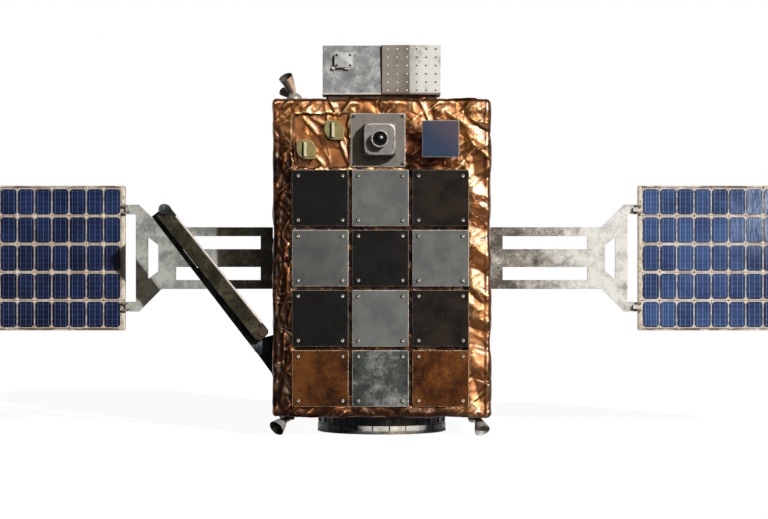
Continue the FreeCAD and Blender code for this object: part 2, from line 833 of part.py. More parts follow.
def make_boom():
    foot = shoulder_base(0.0)
    cheek_front = lower_back_y + layer_clearance
    cheek_back = cheek_front + shoulder_cheek_thick
    wall_side = -half_width - shoulder_base_proud + bite
    nose_r = lower_width / 2
    # the cheek tapers from the foot to a round nose about the pivot
    outline = [(wall_side, shoulder_base_low), (wall_side, shoulder_base_high)]
    for low, high, turn in ((shoulder_base_high, shoulder_z, 1), (shoulder_base_low, shoulder_z, -1)):
        gap = math.hypot(wall_side - shoulder_x, low - shoulder_z)
        to_wall = math.atan2(low - shoulder_z, wall_side - shoulder_x)
        touch = to_wall + turn * math.acos(nose_r / gap)
        outline.append((shoulder_x + nose_r * math.cos(touch), shoulder_z + nose_r * math.sin(touch)))
    cheek = slab(outline, cheek_front, cheek_back)
    nose = rod(shoulder_x, cheek_front, shoulder_z, BACK, nose_r, shoulder_cheek_thick)
    pin_long = cheek_front - lower_front_y + layer_clearance
    pin = rod(shoulder_x, cheek_front + bite, shoulder_z, FORWARD, shoulder_pin_r, pin_long + bite)
    head_y = lower_front_y - layer_clearance
    head = rod(shoulder_x, head_y, shoulder_z, FORWARD, shoulder_head_r, shoulder_head_thick)
    save("boom_shoulder", [fused(foot, [cheek, nose, pin, head])])

    half = lower_width / 2
    arm = bar(shoulder_x, shoulder_z, lower_angle, 0, lower_long + elbow_overrun, -half, half,
              lower_front_y, lower_back_y)
    end = rod(shoulder_x, lower_back_y, shoulder_z, FORWARD, half, arm_thick)
    boss_long = arm_thick + arm_layer_gap - layer_clearance
    boss = rod(elbow_x, lower_back_y, elbow_z, FORWARD, elbow_r, boss_long)
    pin_long = 2 * arm_thick + arm_layer_gap + layer_clearance
    pin = rod(elbow_x, lower_back_y, elbow_z, FORWARD, elbow_pin_r, pin_long)
    slit = bar(shoulder_x, shoulder_z, lower_angle, slot_in_arm_start, slot_in_arm_end,
               slot_in_arm_v - slot_in_arm_half, slot_in_arm_v + slot_in_arm_half,
               lower_front_y - bite, lower_back_y + bite)
    bore_long = arm_thick + 2 * bite
    bore_r = shoulder_pin_r + running_clearance
    bore = rod(shoulder_x, lower_back_y + bite, shoulder_z, FORWARD, bore_r, bore_long)
    save("boom_lower_arm", [fused(arm, [end, boss, pin]).cut([slit, bore])])

    head = rod(elbow_x, upper_front_y - layer_clearance, elbow_z, FORWARD, elbow_r, elbow_head_thick)
    save("boom_elbow_cap", [head])

    # the upper bar's outer edge is flush with the elbow's round cap
    arm = bar(elbow_x, elbow_z, upper_angle, 0, upper_long, elbow_r - upper_width, elbow_r,
              upper_front_y, upper_back_y)
    end = rod(elbow_x, upper_back_y, elbow_z, FORWARD, elbow_r, arm_thick)
    bore_r = elbow_pin_r + running_clearance
    bore = rod(elbow_x, upper_back_y + bite, elbow_z, FORWARD, bore_r, bore_long)
    save("boom_upper_arm", [fused(arm, [end]).cut(bore)])

    along = upper_long - end_cap_inset
    cap_x, cap_z = from_pivot(elbow_x, elbow_z, upper_angle, along, elbow_r - end_cap_r - end_cap_edge)
    save("boom_end_cap", [rod(cap_x, upper_front_y, cap_z, FORWARD, end_cap_r, end_cap_thick)])


os.makedirs("parts", exist_ok=True)
make_body()
make_foil()
make_plates()
make_camera()
make_mirror()
make_knobs()
make_top_boxes()
make_thrusters()
make_ring()
make_wings()
make_boom()
print("wing span", 2 * panel_end, "axis height", axis_z)
print("root axis", root_axis_x, root_axis_y, "panel axis", panel_axis_x, panel_axis_y)
print("elbow", elbow_x, elbow_z)
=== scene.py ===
import math

import bpy
import numpy as np
from mathutils import Matrix, Vector
from mathutils.geometry import delaunay_2d_cdt


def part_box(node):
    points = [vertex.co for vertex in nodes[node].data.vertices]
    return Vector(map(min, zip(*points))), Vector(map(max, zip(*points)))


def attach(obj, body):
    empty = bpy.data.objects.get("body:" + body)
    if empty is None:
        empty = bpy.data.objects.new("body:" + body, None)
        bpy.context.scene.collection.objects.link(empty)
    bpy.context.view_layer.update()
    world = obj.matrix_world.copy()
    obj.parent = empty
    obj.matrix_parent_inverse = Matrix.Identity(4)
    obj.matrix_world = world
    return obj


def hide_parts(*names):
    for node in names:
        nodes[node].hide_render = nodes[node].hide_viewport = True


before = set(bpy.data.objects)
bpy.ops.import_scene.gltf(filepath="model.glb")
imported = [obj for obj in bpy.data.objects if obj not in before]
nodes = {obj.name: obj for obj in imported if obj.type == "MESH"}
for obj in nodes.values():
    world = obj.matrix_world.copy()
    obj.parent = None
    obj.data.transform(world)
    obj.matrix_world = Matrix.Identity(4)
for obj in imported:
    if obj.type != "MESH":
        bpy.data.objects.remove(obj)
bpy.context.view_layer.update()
print("frame loaded,", len(nodes), "nodes")


def clearPick():
    if bpy.context.object and bpy.context.object.mode != "OBJECT":
        bpy.ops.object.mode_set(mode="OBJECT")
    bpy.ops.object.select_all(action="DESELECT")


def pick(*pieces):
    clearPick()
    for piece in pieces:
        piece.select_set(True)
    bpy.context.view_layer.objects.active = pieces[0]


def openEdit(piece, test=None, kind="FACE"):
    pick(piece)
    bpy.ops.object.mode_set(mode="EDIT")
    bpy.ops.mesh.select_mode(type=kind)
    bpy.ops.mesh.select_all(action="DESELECT" if test else "SELECT")
    if test is None:
        return
    bpy.ops.object.mode_set(mode="OBJECT")
    mesh = piece.data
    if kind == "FACE":
        for face in mesh.polygons:
            face.select = bool(test(face.center, face.normal))
    else:
        for edge in mesh.edges:
            a, b = (mesh.vertices[i].co for i in edge.vertices)
            edge.select = bool(test((a + b) / 2, (b - a).normalized()))
    bpy.ops.object.mode_set(mode="EDIT")


def closeEdit():
    bpy.ops.object.mode_set(mode="OBJECT")


def modify(piece, kind, **settings):
    pick(piece)
    modifier = piece.modifiers.new(kind.title(), kind)
    for name, value in settings.items():
        setattr(modifier, name, value)
    bpy.ops.object.modifier_apply(modifier=modifier.name)


def smooth(piece, degrees=35.0):
    pick(piece)
    bpy.ops.object.shade_smooth_by_angle(angle=math.radians(degrees))


def shade(piece, degrees=35.0):   # smooth, with big flat faces kept flat
    smooth(piece, degrees)
    modify(piece, "WEIGHTED_NORMAL", keep_sharp=True)


def breakEdges(piece, width, degrees=30, segments=2, material=-1):
    modify(piece, "BEVEL", width=width, segments=segments, limit_method="ANGLE",
           angle_limit=math.radians(degrees), material=material)


def cutAway(piece, test):
    openEdit(piece, test)
    bpy.ops.mesh.delete(type="FACE")
    closeEdit()


def outward(piece):   # every face's normal points out
    openEdit(piece)
    bpy.ops.mesh.normals_make_consistent(inside=False)
    closeEdit()


def pointsOf(mesh):
    return np.array([v.co for v in mesh.vertices])


def setPoints(piece, points):
    piece.data.vertices.foreach_set("co", np.ravel(points))
    piece.data.update()


def settle(piece):   # the place goes into the mesh
    pick(piece)
    bpy.ops.object.transform_apply(location=True, rotation=True, scale=True)


def joined(pieces, name):
    pick(*pieces)
    bpy.ops.object.join()
    bpy.context.object.name = name
    return bpy.context.object


def copied(piece, matrix):
    made = piece.copy()
    made.data = piece.data.copy()
    made.data.transform(matrix)
    bpy.context.scene.collection.objects.link(made)
    return made


def discard(piece):
    bpy.data.objects.remove(piece)


def painted(piece, *looks):
    piece.data.materials.clear()
    for look in looks:
        piece.data.materials.append(finishes[look])


def camel(nodeName):   # plates_dark becomes platesDark
    first, *rest = nodeName.split("_")
    return first + "".join(word.title() for word in rest)


def dress(nodeName, look, bevel=0.0008, segments=2, edge=None, body="bus", crease=35.0):
    # a merged copy of a CAD node with broken edges, which may have a look of their own
    piece = copied(nodes[nodeName], Matrix.Identity(4))
    piece.name = camel(nodeName)
    piece.parent = None
    for key in list(piece.keys()):
        del piece[key]
    openEdit(piece)
    bpy.ops.mesh.remove_doubles(threshold=0.00002)
    bpy.ops.mesh.dissolve_limited(angle_limit=math.radians(1.0))
    closeEdit()
    painted(piece, *([look, edge] if edge else [look]))
    if bevel:
        breakEdges(piece, bevel, 30, segments, 1 if edge else -1)
    shade(piece, crease)
    place(piece, body=body)
    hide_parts(nodeName)
    return piece


def place(piece, look=None, body="bus"):
    if look:
        painted(piece, look)
    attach(piece, body)
    return piece


def cube(low, high):
    low, high = Vector(low), Vector(high)
    clearPick()
    bpy.ops.mesh.primitive_cube_add(size=1.0, location=(low + high) / 2)
    piece = bpy.context.object
    piece.scale = high - low
    settle(piece)
    return piece


def drum(vertices, radius, depth):   # a cylinder that stands on z = 0
    clearPick()
    bpy.ops.mesh.primitive_cylinder_add(vertices=vertices, radius=radius, depth=depth,
                                        location=(0, 0, depth / 2))
    settle(bpy.context.object)
    return bpy.context.object


def ball(segments, rings, radius):
    clearPick()
    bpy.ops.mesh.primitive_uv_sphere_add(segments=segments, ring_count=rings, radius=radius,
                                         location=(0, 0, 0))
    return bpy.context.object


def grid(across, up, name):   # a flat sheet of size 1
    clearPick()
    bpy.ops.mesh.primitive_grid_add(x_subdivisions=across, y_subdivisions=up, size=1.0, location=(0, 0, 0))
    bpy.context.object.name = name
    return bpy.context.object


def block(low, high, bevel=0.0005, segments=2):   # a box with broken edges
    piece = cube(low, high)
    breakEdges(piece, bevel, 30, segments)
    shade(piece)
    return piece


def solids(mesh):
    # the vertices of each separate solid, whether or not its faces are merged
    co = pointsOf(mesh)
    keys = {}
    first = np.array([keys.setdefault(tuple(np.round(p * 20000).astype(int)), i) for i, p in enumerate(co)])
    parent = {int(i): int(i) for i in first}

    def root(i):
        while parent[i] != i:
            parent[i] = parent[parent[i]]
            i = parent[i]
        return i

    for face in mesh.polygons:
        ids = [int(first[i]) for i in face.vertices]
        for other in ids[1:]:
            parent[root(other)] = root(ids[0])
    groups = {}
    for i, own in enumerate(first):
        groups.setdefault(root(int(own)), []).append(i)
    return co, list(groups.values())


def islands(nodeName):   # lowest and highest corner of each separate solid in a CAD node
    co, groups = solids(nodes[nodeName].data)
    boxes = [(Vector(co[g].min(0)), Vector(co[g].max(0))) for g in groups]
    return sorted(boxes, key=lambda b: (round(b[0].x, 3), round(b[0].z, 3), round(b[0].y, 3)))


low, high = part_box("foil_front")
bodyLow = low.z
bodyHigh = high.z
bodyMid = (bodyLow + bodyHigh) / 2
halfWide = high.x
halfTall = (bodyHigh - bodyLow) / 2
plateBoxes = [b for kind in ("dark", "light", "copper", "silver") for b in islands("plates_" + kind)]
fieldLeft = min(b[0].x for b in plateBoxes)
fieldRight = max(b[1].x for b in plateBoxes)
fieldTop = max(b[1].z for b in plateBoxes) - bodyMid
fieldLow = min(b[0].z for b in plateBoxes) - bodyMid


def rgb(red, green, blue):   # screen values to the shader's own
    return tuple(math.pow(c / 255, 2.2) for c in (red, green, blue)) + (1.0,)


class Wire:
    def __init__(self, sheet, socket):
        self.sheet = sheet
        self.socket = socket

    def __add__(self, other):
        return self.sheet.maths("ADD", self, other)

    __radd__ = __add__

    def __sub__(self, other):
        return self.sheet.maths("SUBTRACT", self, other)

    def __rsub__(self, other):
        return self.sheet.maths("SUBTRACT", other, self)

    def __mul__(self, other):
        return self.sheet.maths("MULTIPLY", self, other)

    __rmul__ = __mul__

    def __truediv__(self, other):
        return self.sheet.maths("DIVIDE", self, other)


class Sheet:   # the shader nodes of a material or a world
    def __init__(self, owner):
        owner.use_nodes = True
        self.owner = owner
        self.tree = owner.node_tree
        self.tree.nodes.clear()

    def node(self, kind, settings=None, inputs=None, output=0):
        made = self.tree.nodes.new(kind)
        for name, value in (settings or {}).items():
            setattr(made, name, value)
        for name, value in (inputs or {}).items():
            if isinstance(value, Wire):
                self.tree.links.new(value.socket, made.inputs[name])
            else:
                made.inputs[name].default_value = value
        return Wire(self, made.outputs[output]) if len(made.outputs) else None

    def maths(self, operation, *values):
        return self.node("ShaderNodeMath", {"operation": operation}, dict(enumerate(values)))

    def ramp(self, value, *stops):
        made = self.tree.nodes.new("ShaderNodeValToRGB")
        self.tree.links.new(value.socket, made.inputs[0])
        elements = made.color_ramp.elements
        while len(elements) < len(stops):
            elements.new(0.5)
        for element, (position, colour) in zip(elements, stops):
            element.position = position
            element.color = colour
        return Wire(self, made.outputs[0])

    def where(self):
        return self.node("ShaderNodeTexCoord", output="Object")

    def stretched(self, scale, turn=(0, 0, 0)):
        return self.node("ShaderNodeMapping", {}, {"Vector": self.where(), "Scale": scale, "Rotation": turn})

    def noise(self, scale, detail=3.0, rough=0.5, warp=0.0, at=None):
        return self.node("ShaderNodeTexNoise", {}, {"Vector": at or self.where(), "Scale": scale,
                         "Detail": detail, "Roughness": rough, "Distortion": warp})

    def cells(self, scale, feature, at, output=0):
        return self.node("ShaderNodeTexVoronoi", {"feature": feature},
                         {"Vector": at, "Scale": scale}, output)

    def vector(self, operation, first, second, output=0):
        return self.node("ShaderNodeVectorMath", {"operation": operation}, {0: first, 1: second}, output)

    def shifted(self, scale, amount):   # places pushed about by a noise
        push = self.node("ShaderNodeTexNoise", {}, {"Vector": self.where(), "Scale": scale}, 1)
        return self.vector("ADD", self.where(), self.vector("MULTIPLY", push, (amount,) * 3))

    def facets(self, scale, slope, at):   # height of flat facets, each with a tilt of its own
        away = self.vector("SUBTRACT", at, self.cells(scale, "F1", at, 2))
        tilt = self.vector("SUBTRACT", self.cells(scale, "F1", at, 1), (0.5,) * 3)
        rim = self.between(self.cells(scale, "DISTANCE_TO_EDGE", at), 0.0, 0.16)
        return self.vector("DOT_PRODUCT", away, tilt, 1) * rim * slope

    def between(self, value, low, high, start=0.0, end=1.0):
        return self.node("ShaderNodeMapRange", {"interpolation_type": "SMOOTHSTEP"},
                         {0: value, 1: low, 2: high, 3: start, 4: end})

    def below(self, value, low, high):
        return self.between(value, low, high, 1.0, 0.0)

    def window(self, value, rise, fall, after=0.0):   # up between two values, down between two others
        return self.between(value, *rise) * self.between(value, *fall, 1.0, after)

    def wave(self, value, period):   # distance to the nearest multiple of a period
        return self.maths("PINGPONG", value, period / 2)

    def line(self, value, period, width):
        return self.below(self.wave(value, period), width * 0.3, width)

    def tone(self, value, low, high, first, second):
        return self.blend(self.between(value, low, high), first, second)

    def blend(self, factor, first, second, how="MIX"):
        return self.node("ShaderNodeMix", {"data_type": "RGBA", "blend_type": how},
                         {0: factor, 6: first, 7: second}, 2)

    def bump(self, height, strength, distance, under=None):
        inputs = {"Height": height, "Strength": strength, "Distance": distance}
        if under:
            inputs["Normal"] = under
        return self.node("ShaderNodeBump", {}, inputs)

    def axes(self, at=None):
        split = self.tree.nodes.new("ShaderNodeSeparateXYZ")
        self.tree.links.new((at or self.where()).socket, split.inputs[0])
        return [Wire(self, socket) for socket in split.outputs]

    def tileValue(self, column, row):   # a random value of each tile's own
        spot = self.node("ShaderNodeCombineXYZ", {}, {0: column, 1: row, 2: 0.0})
        return self.node("ShaderNodeTexWhiteNoise", {"noise_dimensions": "2D"}, {0: spot})

    def ray(self, kind):   # 1 for rays of a kind
        return self.node("ShaderNodeLightPath", output="Is " + kind + " Ray")

    def finish(self, base, rough, metal=0.0, normal=None, **constants):
        inputs = {"Base Color": base, "Roughness": rough, "Metallic": metal}
        if normal:
            inputs["Normal"] = normal
        inputs.update(constants)
        surface = self.node("ShaderNodeBsdfPrincipled", {}, inputs)
        self.node("ShaderNodeOutputMaterial", {}, {"Surface": surface})
        return self.owner


def newSheet(name):
    return Sheet(bpy.data.materials.new(name))


def foilFinish():
    s = newSheet("foilCopper")
    x, y, z = s.axes()
    cloud = s.noise(7.0, 3.0, 0.55, 0.5)
    fine = s.noise(34.0, 4.0, 0.6, 0.4)
    fold = s.node("ShaderNodeAttribute", {"attribute_name": "fold"}, output=2)
    base = s.tone(cloud, 0.35, 0.68, rgb(114, 65, 28), rgb(154, 96, 46))
    base = s.blend(s.between(fine, 0.5, 0.75) * 0.25, base, rgb(206, 140, 78))
    # painted shade in the folds' valleys and a painted highlight on their crests, read from how the sheet
    # bends
    base = s.blend(s.between(fold, 0.06, 0.46, 0.8, 0.0), base, rgb(58, 26, 9))
    base = s.blend(s.between(fold, 0.58, 0.95, 0.0, 0.65), base, rgb(246, 204, 142))
    front = s.between(y, -0.2, -0.24)
    # painted shade over the left margin, less near the top, with a painted highlight on its thin crests
    margin = s.below(x, fieldLeft - 0.005, fieldLeft + 0.004) * front
    margin = margin * s.between(z, bodyHigh - 0.15, bodyHigh - 0.07, 1.0, 0.2)
    thin = s.between(fold, 0.55, 0.9) * s.between(s.noise(24.0, 3.0), 0.36, 0.6)
    base = s.blend(margin * 0.95, base, s.blend(thin, rgb(21, 11, 5), rgb(150, 84, 42)))
    # painted shade between the plates, broken by a few copper specks
    plates = s.window(x, (fieldLeft - 0.003, fieldLeft + 0.002), (fieldRight - 0.002, fieldRight + 0.003))
    bottom, top = fieldLow + bodyMid, fieldTop + bodyMid
    plates = plates * front * s.window(z, (bottom - 0.003, bottom + 0.002), (top - 0.002, top + 0.003))
    speck = s.between(s.noise(90.0, 3.0), 0.56, 0.66, 1.0, 0.25)
    base = s.blend(plates * speck * 0.9, base, rgb(30, 18, 11))
    # painted shade along the lowest strip, more on the left, with a painted highlight on its crests
    low = s.between(z, bodyLow + 0.024, bodyLow + 0.05, 0.9, 0.0) * front
    low = low * s.between(x, 0.12, 0.24, 1.0, 0.25)
    base = s.blend(low, base, s.blend(thin * 0.8, rgb(46, 24, 11), rgb(160, 92, 48)))
    # painted shadow of the mirror: darker, redder foil round its foot, reaching further left and down
    foot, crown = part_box("mirror_frame")
    ragged = s.noise(30.0, 3.0, 0.6) * 0.03
    deep = s.window(x + ragged, (foot.x - 0.028, foot.x - 0.016), (crown.x - 0.016, crown.x))
    deep = deep * s.window(z + ragged, (foot.z - 0.012, foot.z), (crown.z - 0.014, crown.z + 0.002))
    deep = deep * front * (1 - plates)
    red = s.tone(s.noise(120.0, 3.0), 0.5, 0.62, rgb(76, 29, 12), rgb(86, 38, 16))
    base = s.blend(deep * 0.88, base, red)
    # painted shade where the sheet turns over the top and right edges
    edgeTurnShade = s.between(x, halfWide - 0.009, halfWide - 0.005) * s.between(cloud, 0.3, 0.5, 0.5, 1.0)
    edgeTurnShade = (edgeTurnShade + s.between(z, bodyHigh - 0.0075, bodyHigh - 0.0035)) * front
    base = s.blend(edgeTurnShade * 0.85, base, rgb(70, 38, 19))
    patch = s.between(s.noise(9.0, 1.0), 0.45, 0.65)
    tilts = s.facets(52.0, 0.14, s.shifted(30.0, 0.02)) * patch + s.facets(19.0, 0.16, s.shifted(10.0, 0.06))
    normal = s.bump(tilts, 0.9, 1.0)
    normal = s.bump(s.noise(60.0, 4.0, 0.6), 0.1, 0.002, normal)
    coat = (1 - margin * 0.95) * (1 - plates * 0.8) * (1 - low * 0.85) * (1 - edgeTurnShade * 0.8) * (1 - deep * 0.9)
    coat = coat * s.between(x, fieldRight - 0.01, fieldRight + 0.01, 0.42, 0.68)
    return s.finish(base, s.between(fine, 0.3, 0.7, 0.3, 0.4), 0.62, normal,
                    **{"Coat Weight": coat, "Coat Roughness": 0.26, "Coat IOR": 1.65})


def shadedLeftward(s, base, amount):   # painted shade: the plates darker towards the left, where less light falls
    return s.blend(s.between(s.axes()[0], fieldLeft + 0.045, -0.03, amount, 0.0), base, rgb(10, 10, 10))


def plateFinish(name, dark, light, rough):
    s = newSheet(name)
    cloud = s.noise(15.0, 7.0, 0.66, 0.15)
    speck = s.noise(420.0, 2.0)
    scratch = s.noise(60.0, 4.0, 0.7, 0.0, s.stretched((1.0, 1.0, 14.0), (0, 0.5, 0)))
    if name == "plateDark":   # painted light, partly the plates' own tint: lighter and warmer towards the right
        light = s.tone(s.axes()[0], -0.02, 0.17, light, rgb(46, 39, 34))
    base = s.tone(cloud, 0.36, 0.62, dark, light)
    base = s.blend(s.between(scratch, 0.66, 0.78) * 0.25, base, light)
    base = shadedLeftward(s, base, 0.36)
    normal = s.bump(speck, 0.25, 0.0002, s.bump(scratch, 0.12, 0.0003))
    return s.finish(base, s.between(cloud, 0.2, 0.8, rough - 0.07, rough + 0.1), 0.0, normal,
                    **{"Specular IOR Level": 0.1})


def mottledFinish(name, dark, mid, light, size, spread=0.15, rough=0.5, metal=0.0):
    s = newSheet(name)
    cloud = s.noise(size, 7.0, 0.64, 0.25)
    fine = s.noise(size * 9, 4.0, 0.7)
    mix = cloud * 0.75 + fine * 0.25
    base = s.ramp(mix, (0.5 - spread, dark), (0.5, mid), (0.5 + spread, light))
    if name.startswith("plate"):
        base = shadedLeftward(s, base, 0.3)
    normal = s.bump(fine, 0.3, 0.0003)
    shine = 0.1 if name.startswith(("plate", "boom")) else 0.5
    return s.finish(base, s.between(mix, 0.3, 0.7, rough + 0.12, rough - 0.05), metal, normal,
                    **{"Specular IOR Level": shine})


def plainFinish(name, colour, rough, metal=0.0, size=60.0, wear=0.35):
    s = newSheet(name)
    cloud = s.noise(size, 5.0, 0.6, 0.3)
    darker = tuple(c * (1 - wear) for c in colour[:3]) + (1.0,)
    base = s.tone(cloud, 0.3, 0.7, darker, colour)
    return s.finish(base, s.between(cloud, 0.3, 0.7, rough + 0.08, rough - 0.05), metal,
                    s.bump(s.noise(size * 12, 2.0), 0.2, 0.0001))


def wornFinish(name, paint, bare, size=240.0):   # chipped paint on an edge
    s = newSheet(name)
    chip = s.between(s.noise(size, 3.0, 0.7) * 0.6 + s.noise(size * 0.25, 2.0) * 0.4, 0.42, 0.55)
    return s.finish(s.blend(chip, paint, bare), s.between(chip, 0.0, 1.0, 0.5, 0.38), 0.2,
                    s.bump(chip, 0.3, 0.0002))


def shoeFinish():   # painted light: pale silver in front as if lit, black at the sides as if in shade
    s = newSheet("shoeSilver")
    x, y, _ = s.axes()
    off = s.maths("ABSOLUTE", x - 0.028)
    grime = s.noise(60.0, 6.0, 0.65)
    bare = s.below(off + grime * 0.05, 0.085, 0.115) * s.below(y, -0.06, -0.03)
    silver = s.tone(grime, 0.36, 0.64, rgb(186, 182, 174), rgb(236, 232, 224))
    base = s.blend(bare, rgb(22, 26, 28), silver)
    glow = s.blend(bare * 0.58, rgb(0, 0, 0), silver)   # painted light: an emission that makes the front shoes glow as if lit from below
    return s.finish(base, s.between(grime, 0.3, 0.7, 0.34, 0.24), s.between(bare, 0.0, 1.0, 0.3, 0.35),
                    s.bump(s.noise(500.0), 0.2, 0.0001),
                    **{"Emission Color": glow, "Emission Strength": 1.0})


def bellInsideFinish():   # soot and painted shade inside, with painted light in the right-hand bells and the lower of the two top bells
    s = newSheet("bellInside")
    x, _, z = s.axes()
    cloud = s.noise(50.0, 6.0, 0.64)
    sootAndShade = s.tone(cloud, 0.36, 0.64, rgb(30, 28, 25), rgb(90, 87, 80))
    litInside = s.tone(cloud, 0.36, 0.64, rgb(146, 142, 133), rgb(208, 203, 192))
    bright = s.between(x, -0.02, 0.02) + s.window(z, (0.5, 0.6), (0.838, 0.848))
    return s.finish(s.blend(bright, sootAndShade, litInside), 0.5, 0.1, s.bump(s.noise(400.0), 0.2, 0.0001))


def bellTopFinish():   # a pale, warm streak along one side of the upper bell
    s = newSheet("bellTop")
    low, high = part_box("thruster_dome")
    x, _, z = s.axes()
    across = (x - (low.x + high.x) / 2) * 0.899 + (z - high.z) * 0.438
    cloud = s.noise(70.0, 6.0, 0.64)
    grey = s.tone(cloud, 0.36, 0.64, rgb(104, 98, 90), rgb(150, 143, 134))
    warm = s.tone(cloud, 0.3, 0.7, rgb(228, 172, 130), rgb(255, 222, 192))
    streak = s.window(across, (-0.003, 0.001), (0.0065, 0.011), 0.25)
    return s.finish(s.blend(streak, grey, warm), 0.42, 0.2, s.bump(s.noise(400.0), 0.2, 0.0001))


def ringFinish():   # black; painted light: its lower lip pale silver in front, as if lit
    s = newSheet("ringBlack")
    x, y, z = s.axes()
    off = s.maths("ABSOLUTE", x - 0.022)
    cloud = s.noise(30.0, 5.0, 0.6, 0.3)
    base = s.tone(cloud, 0.3, 0.7, rgb(18, 22, 24), rgb(34, 42, 44))
    lip = s.below(z, 0.0072, 0.0082) * s.below(y, -0.05, -0.03)
    lip = lip * s.below(off + cloud * 0.03, 0.075, 0.125)
    base = s.blend(lip, base, s.tone(cloud, 0.35, 0.6, rgb(176, 176, 172), rgb(226, 226, 222)))
    return s.finish(base, s.between(cloud, 0.3, 0.7, 0.48, 0.35), 0.3, s.bump(s.noise(360.0), 0.2, 0.0001))


def yokeFinish():   # more stained towards the body; the left yoke has stains and painted shade
    s = newSheet("yokeMetal")
    x = s.axes()[0]
    cloud = s.noise(20.0, 7.0, 0.68, 0.2)
    fine = s.noise(150.0, 4.0, 0.75)
    mix = cloud * 0.72 + fine * 0.28 - s.between(s.maths("ABSOLUTE", x), 0.27, 0.56, 0.17, -0.06)
    base = s.ramp(mix, (0.31, rgb(66, 62, 56)), (0.41, rgb(132, 128, 121)), (0.5, rgb(186, 185, 181)),
                  (0.6, rgb(220, 219, 215)))
    # painted shade: the left yoke darker all over; the patches on it are stains
    left = s.below(x, -0.1, 0.1)
    base = s.blend(left, base, rgb(204, 206, 202), "MULTIPLY")
    patch = s.between(s.noise(15.0, 6.0, 0.7, 0.2), 0.45, 0.6)
    base = s.blend(left * patch * 0.6, base, rgb(82, 86, 86))
    return s.finish(base, s.between(mix, 0.3, 0.7, 0.62, 0.45), 0.15, s.bump(fine, 0.3, 0.0003))


def perforatedFinish():
    s = newSheet("perforatedSteel")
    low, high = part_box("top_box_perforated")
    x, _, z = s.axes()
    off = x - (low.x + high.x) / 2
    cloud = s.noise(26.0, 6.0, 0.62, 0.2)
    fine = s.noise(120.0, 4.0, 0.7)
    warm = s.blend(s.between(off, -0.06, -0.004, 0.1, 0.85), rgb(142, 136, 126), rgb(102, 94, 83))
    warm = s.blend(s.between(cloud, 0.42, 0.62) * 0.45, warm, rgb(160, 154, 143))
    pale = s.tone(off, -0.004, 0.03, rgb(180, 177, 171), rgb(214, 212, 207))
    pale = s.blend(s.between(cloud, 0.52, 0.68) * 0.7, pale, rgb(146, 143, 137))
    base = s.tone(off, -0.005, -0.003, warm, pale)   # painted light: the facet left of the ridge warm and shaded, darkest at the ridge; the right one lit
    base = s.blend(s.between(fine, 0.55, 0.75) * 0.3, base, rgb(120, 116, 110))
    # painted shade along the box's bottom edge
    base = s.blend(s.between(z, low.z + 0.0025, low.z + 0.006, 0.85, 0.0), base, rgb(96, 68, 50))
    return s.finish(base, 0.5, 0.1, s.bump(s.noise(300.0, 2.0), 0.2, 0.0002))


def mirrorFinish():
    s = newSheet("mirrorBlue")
    low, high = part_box("mirror_glass")
    x, _, z = s.axes()
    # painted reflection: a sweep from blue to purple-grey across the glass
    across = ((x - low.x) + (z - low.z) * 1.2) / ((high.x - low.x) * 2.2) + s.noise(14.0, 3.0) * 0.16
    base = s.tone(across, 0.3, 1.05, rgb(44, 60, 84), rgb(82, 75, 84))
    return s.finish(base, s.between(s.noise(30.0), 0.3, 0.7, 0.42, 0.5), 0.0,
                    s.bump(s.noise(200.0), 0.05, 0.0002), **{"Specular IOR Level": 0.2})


def radiatorFinish():   # square white tiles, each with a tone of its own
    s = newSheet("radiatorWhite")
    x, _, z = s.axes()
    tile = 0.04
    up = z - bodyMid - tile / 4
    own = s.tileValue(s.maths("FLOOR", x / tile), s.maths("FLOOR", up / tile))
    cloud = s.noise(14.0, 5.0, 0.6)
    base = s.tone(own * 0.5 + cloud * 0.5, 0.25, 0.75, rgb(196, 197, 196), rgb(228, 228, 224))
    groove = s.below(s.wave(x, tile), 0.0004, 0.0011) + s.below(s.wave(up, tile), 0.0004, 0.0011)
    base = s.blend(groove * 0.8, base, rgb(110, 108, 104))
    return s.finish(base, s.between(cloud, 0.3, 0.7, 0.28, 0.38), 0.1, s.bump(1 - groove, 0.4, 0.0004))


cellGrid = {
    "across": 0.0433,     # pitch of the cells
    "up": 0.0706,
    "width": 0.0397,      # of one cell
    "height": 0.0634,
    "busbars": 3,
    "bands": 5,
}


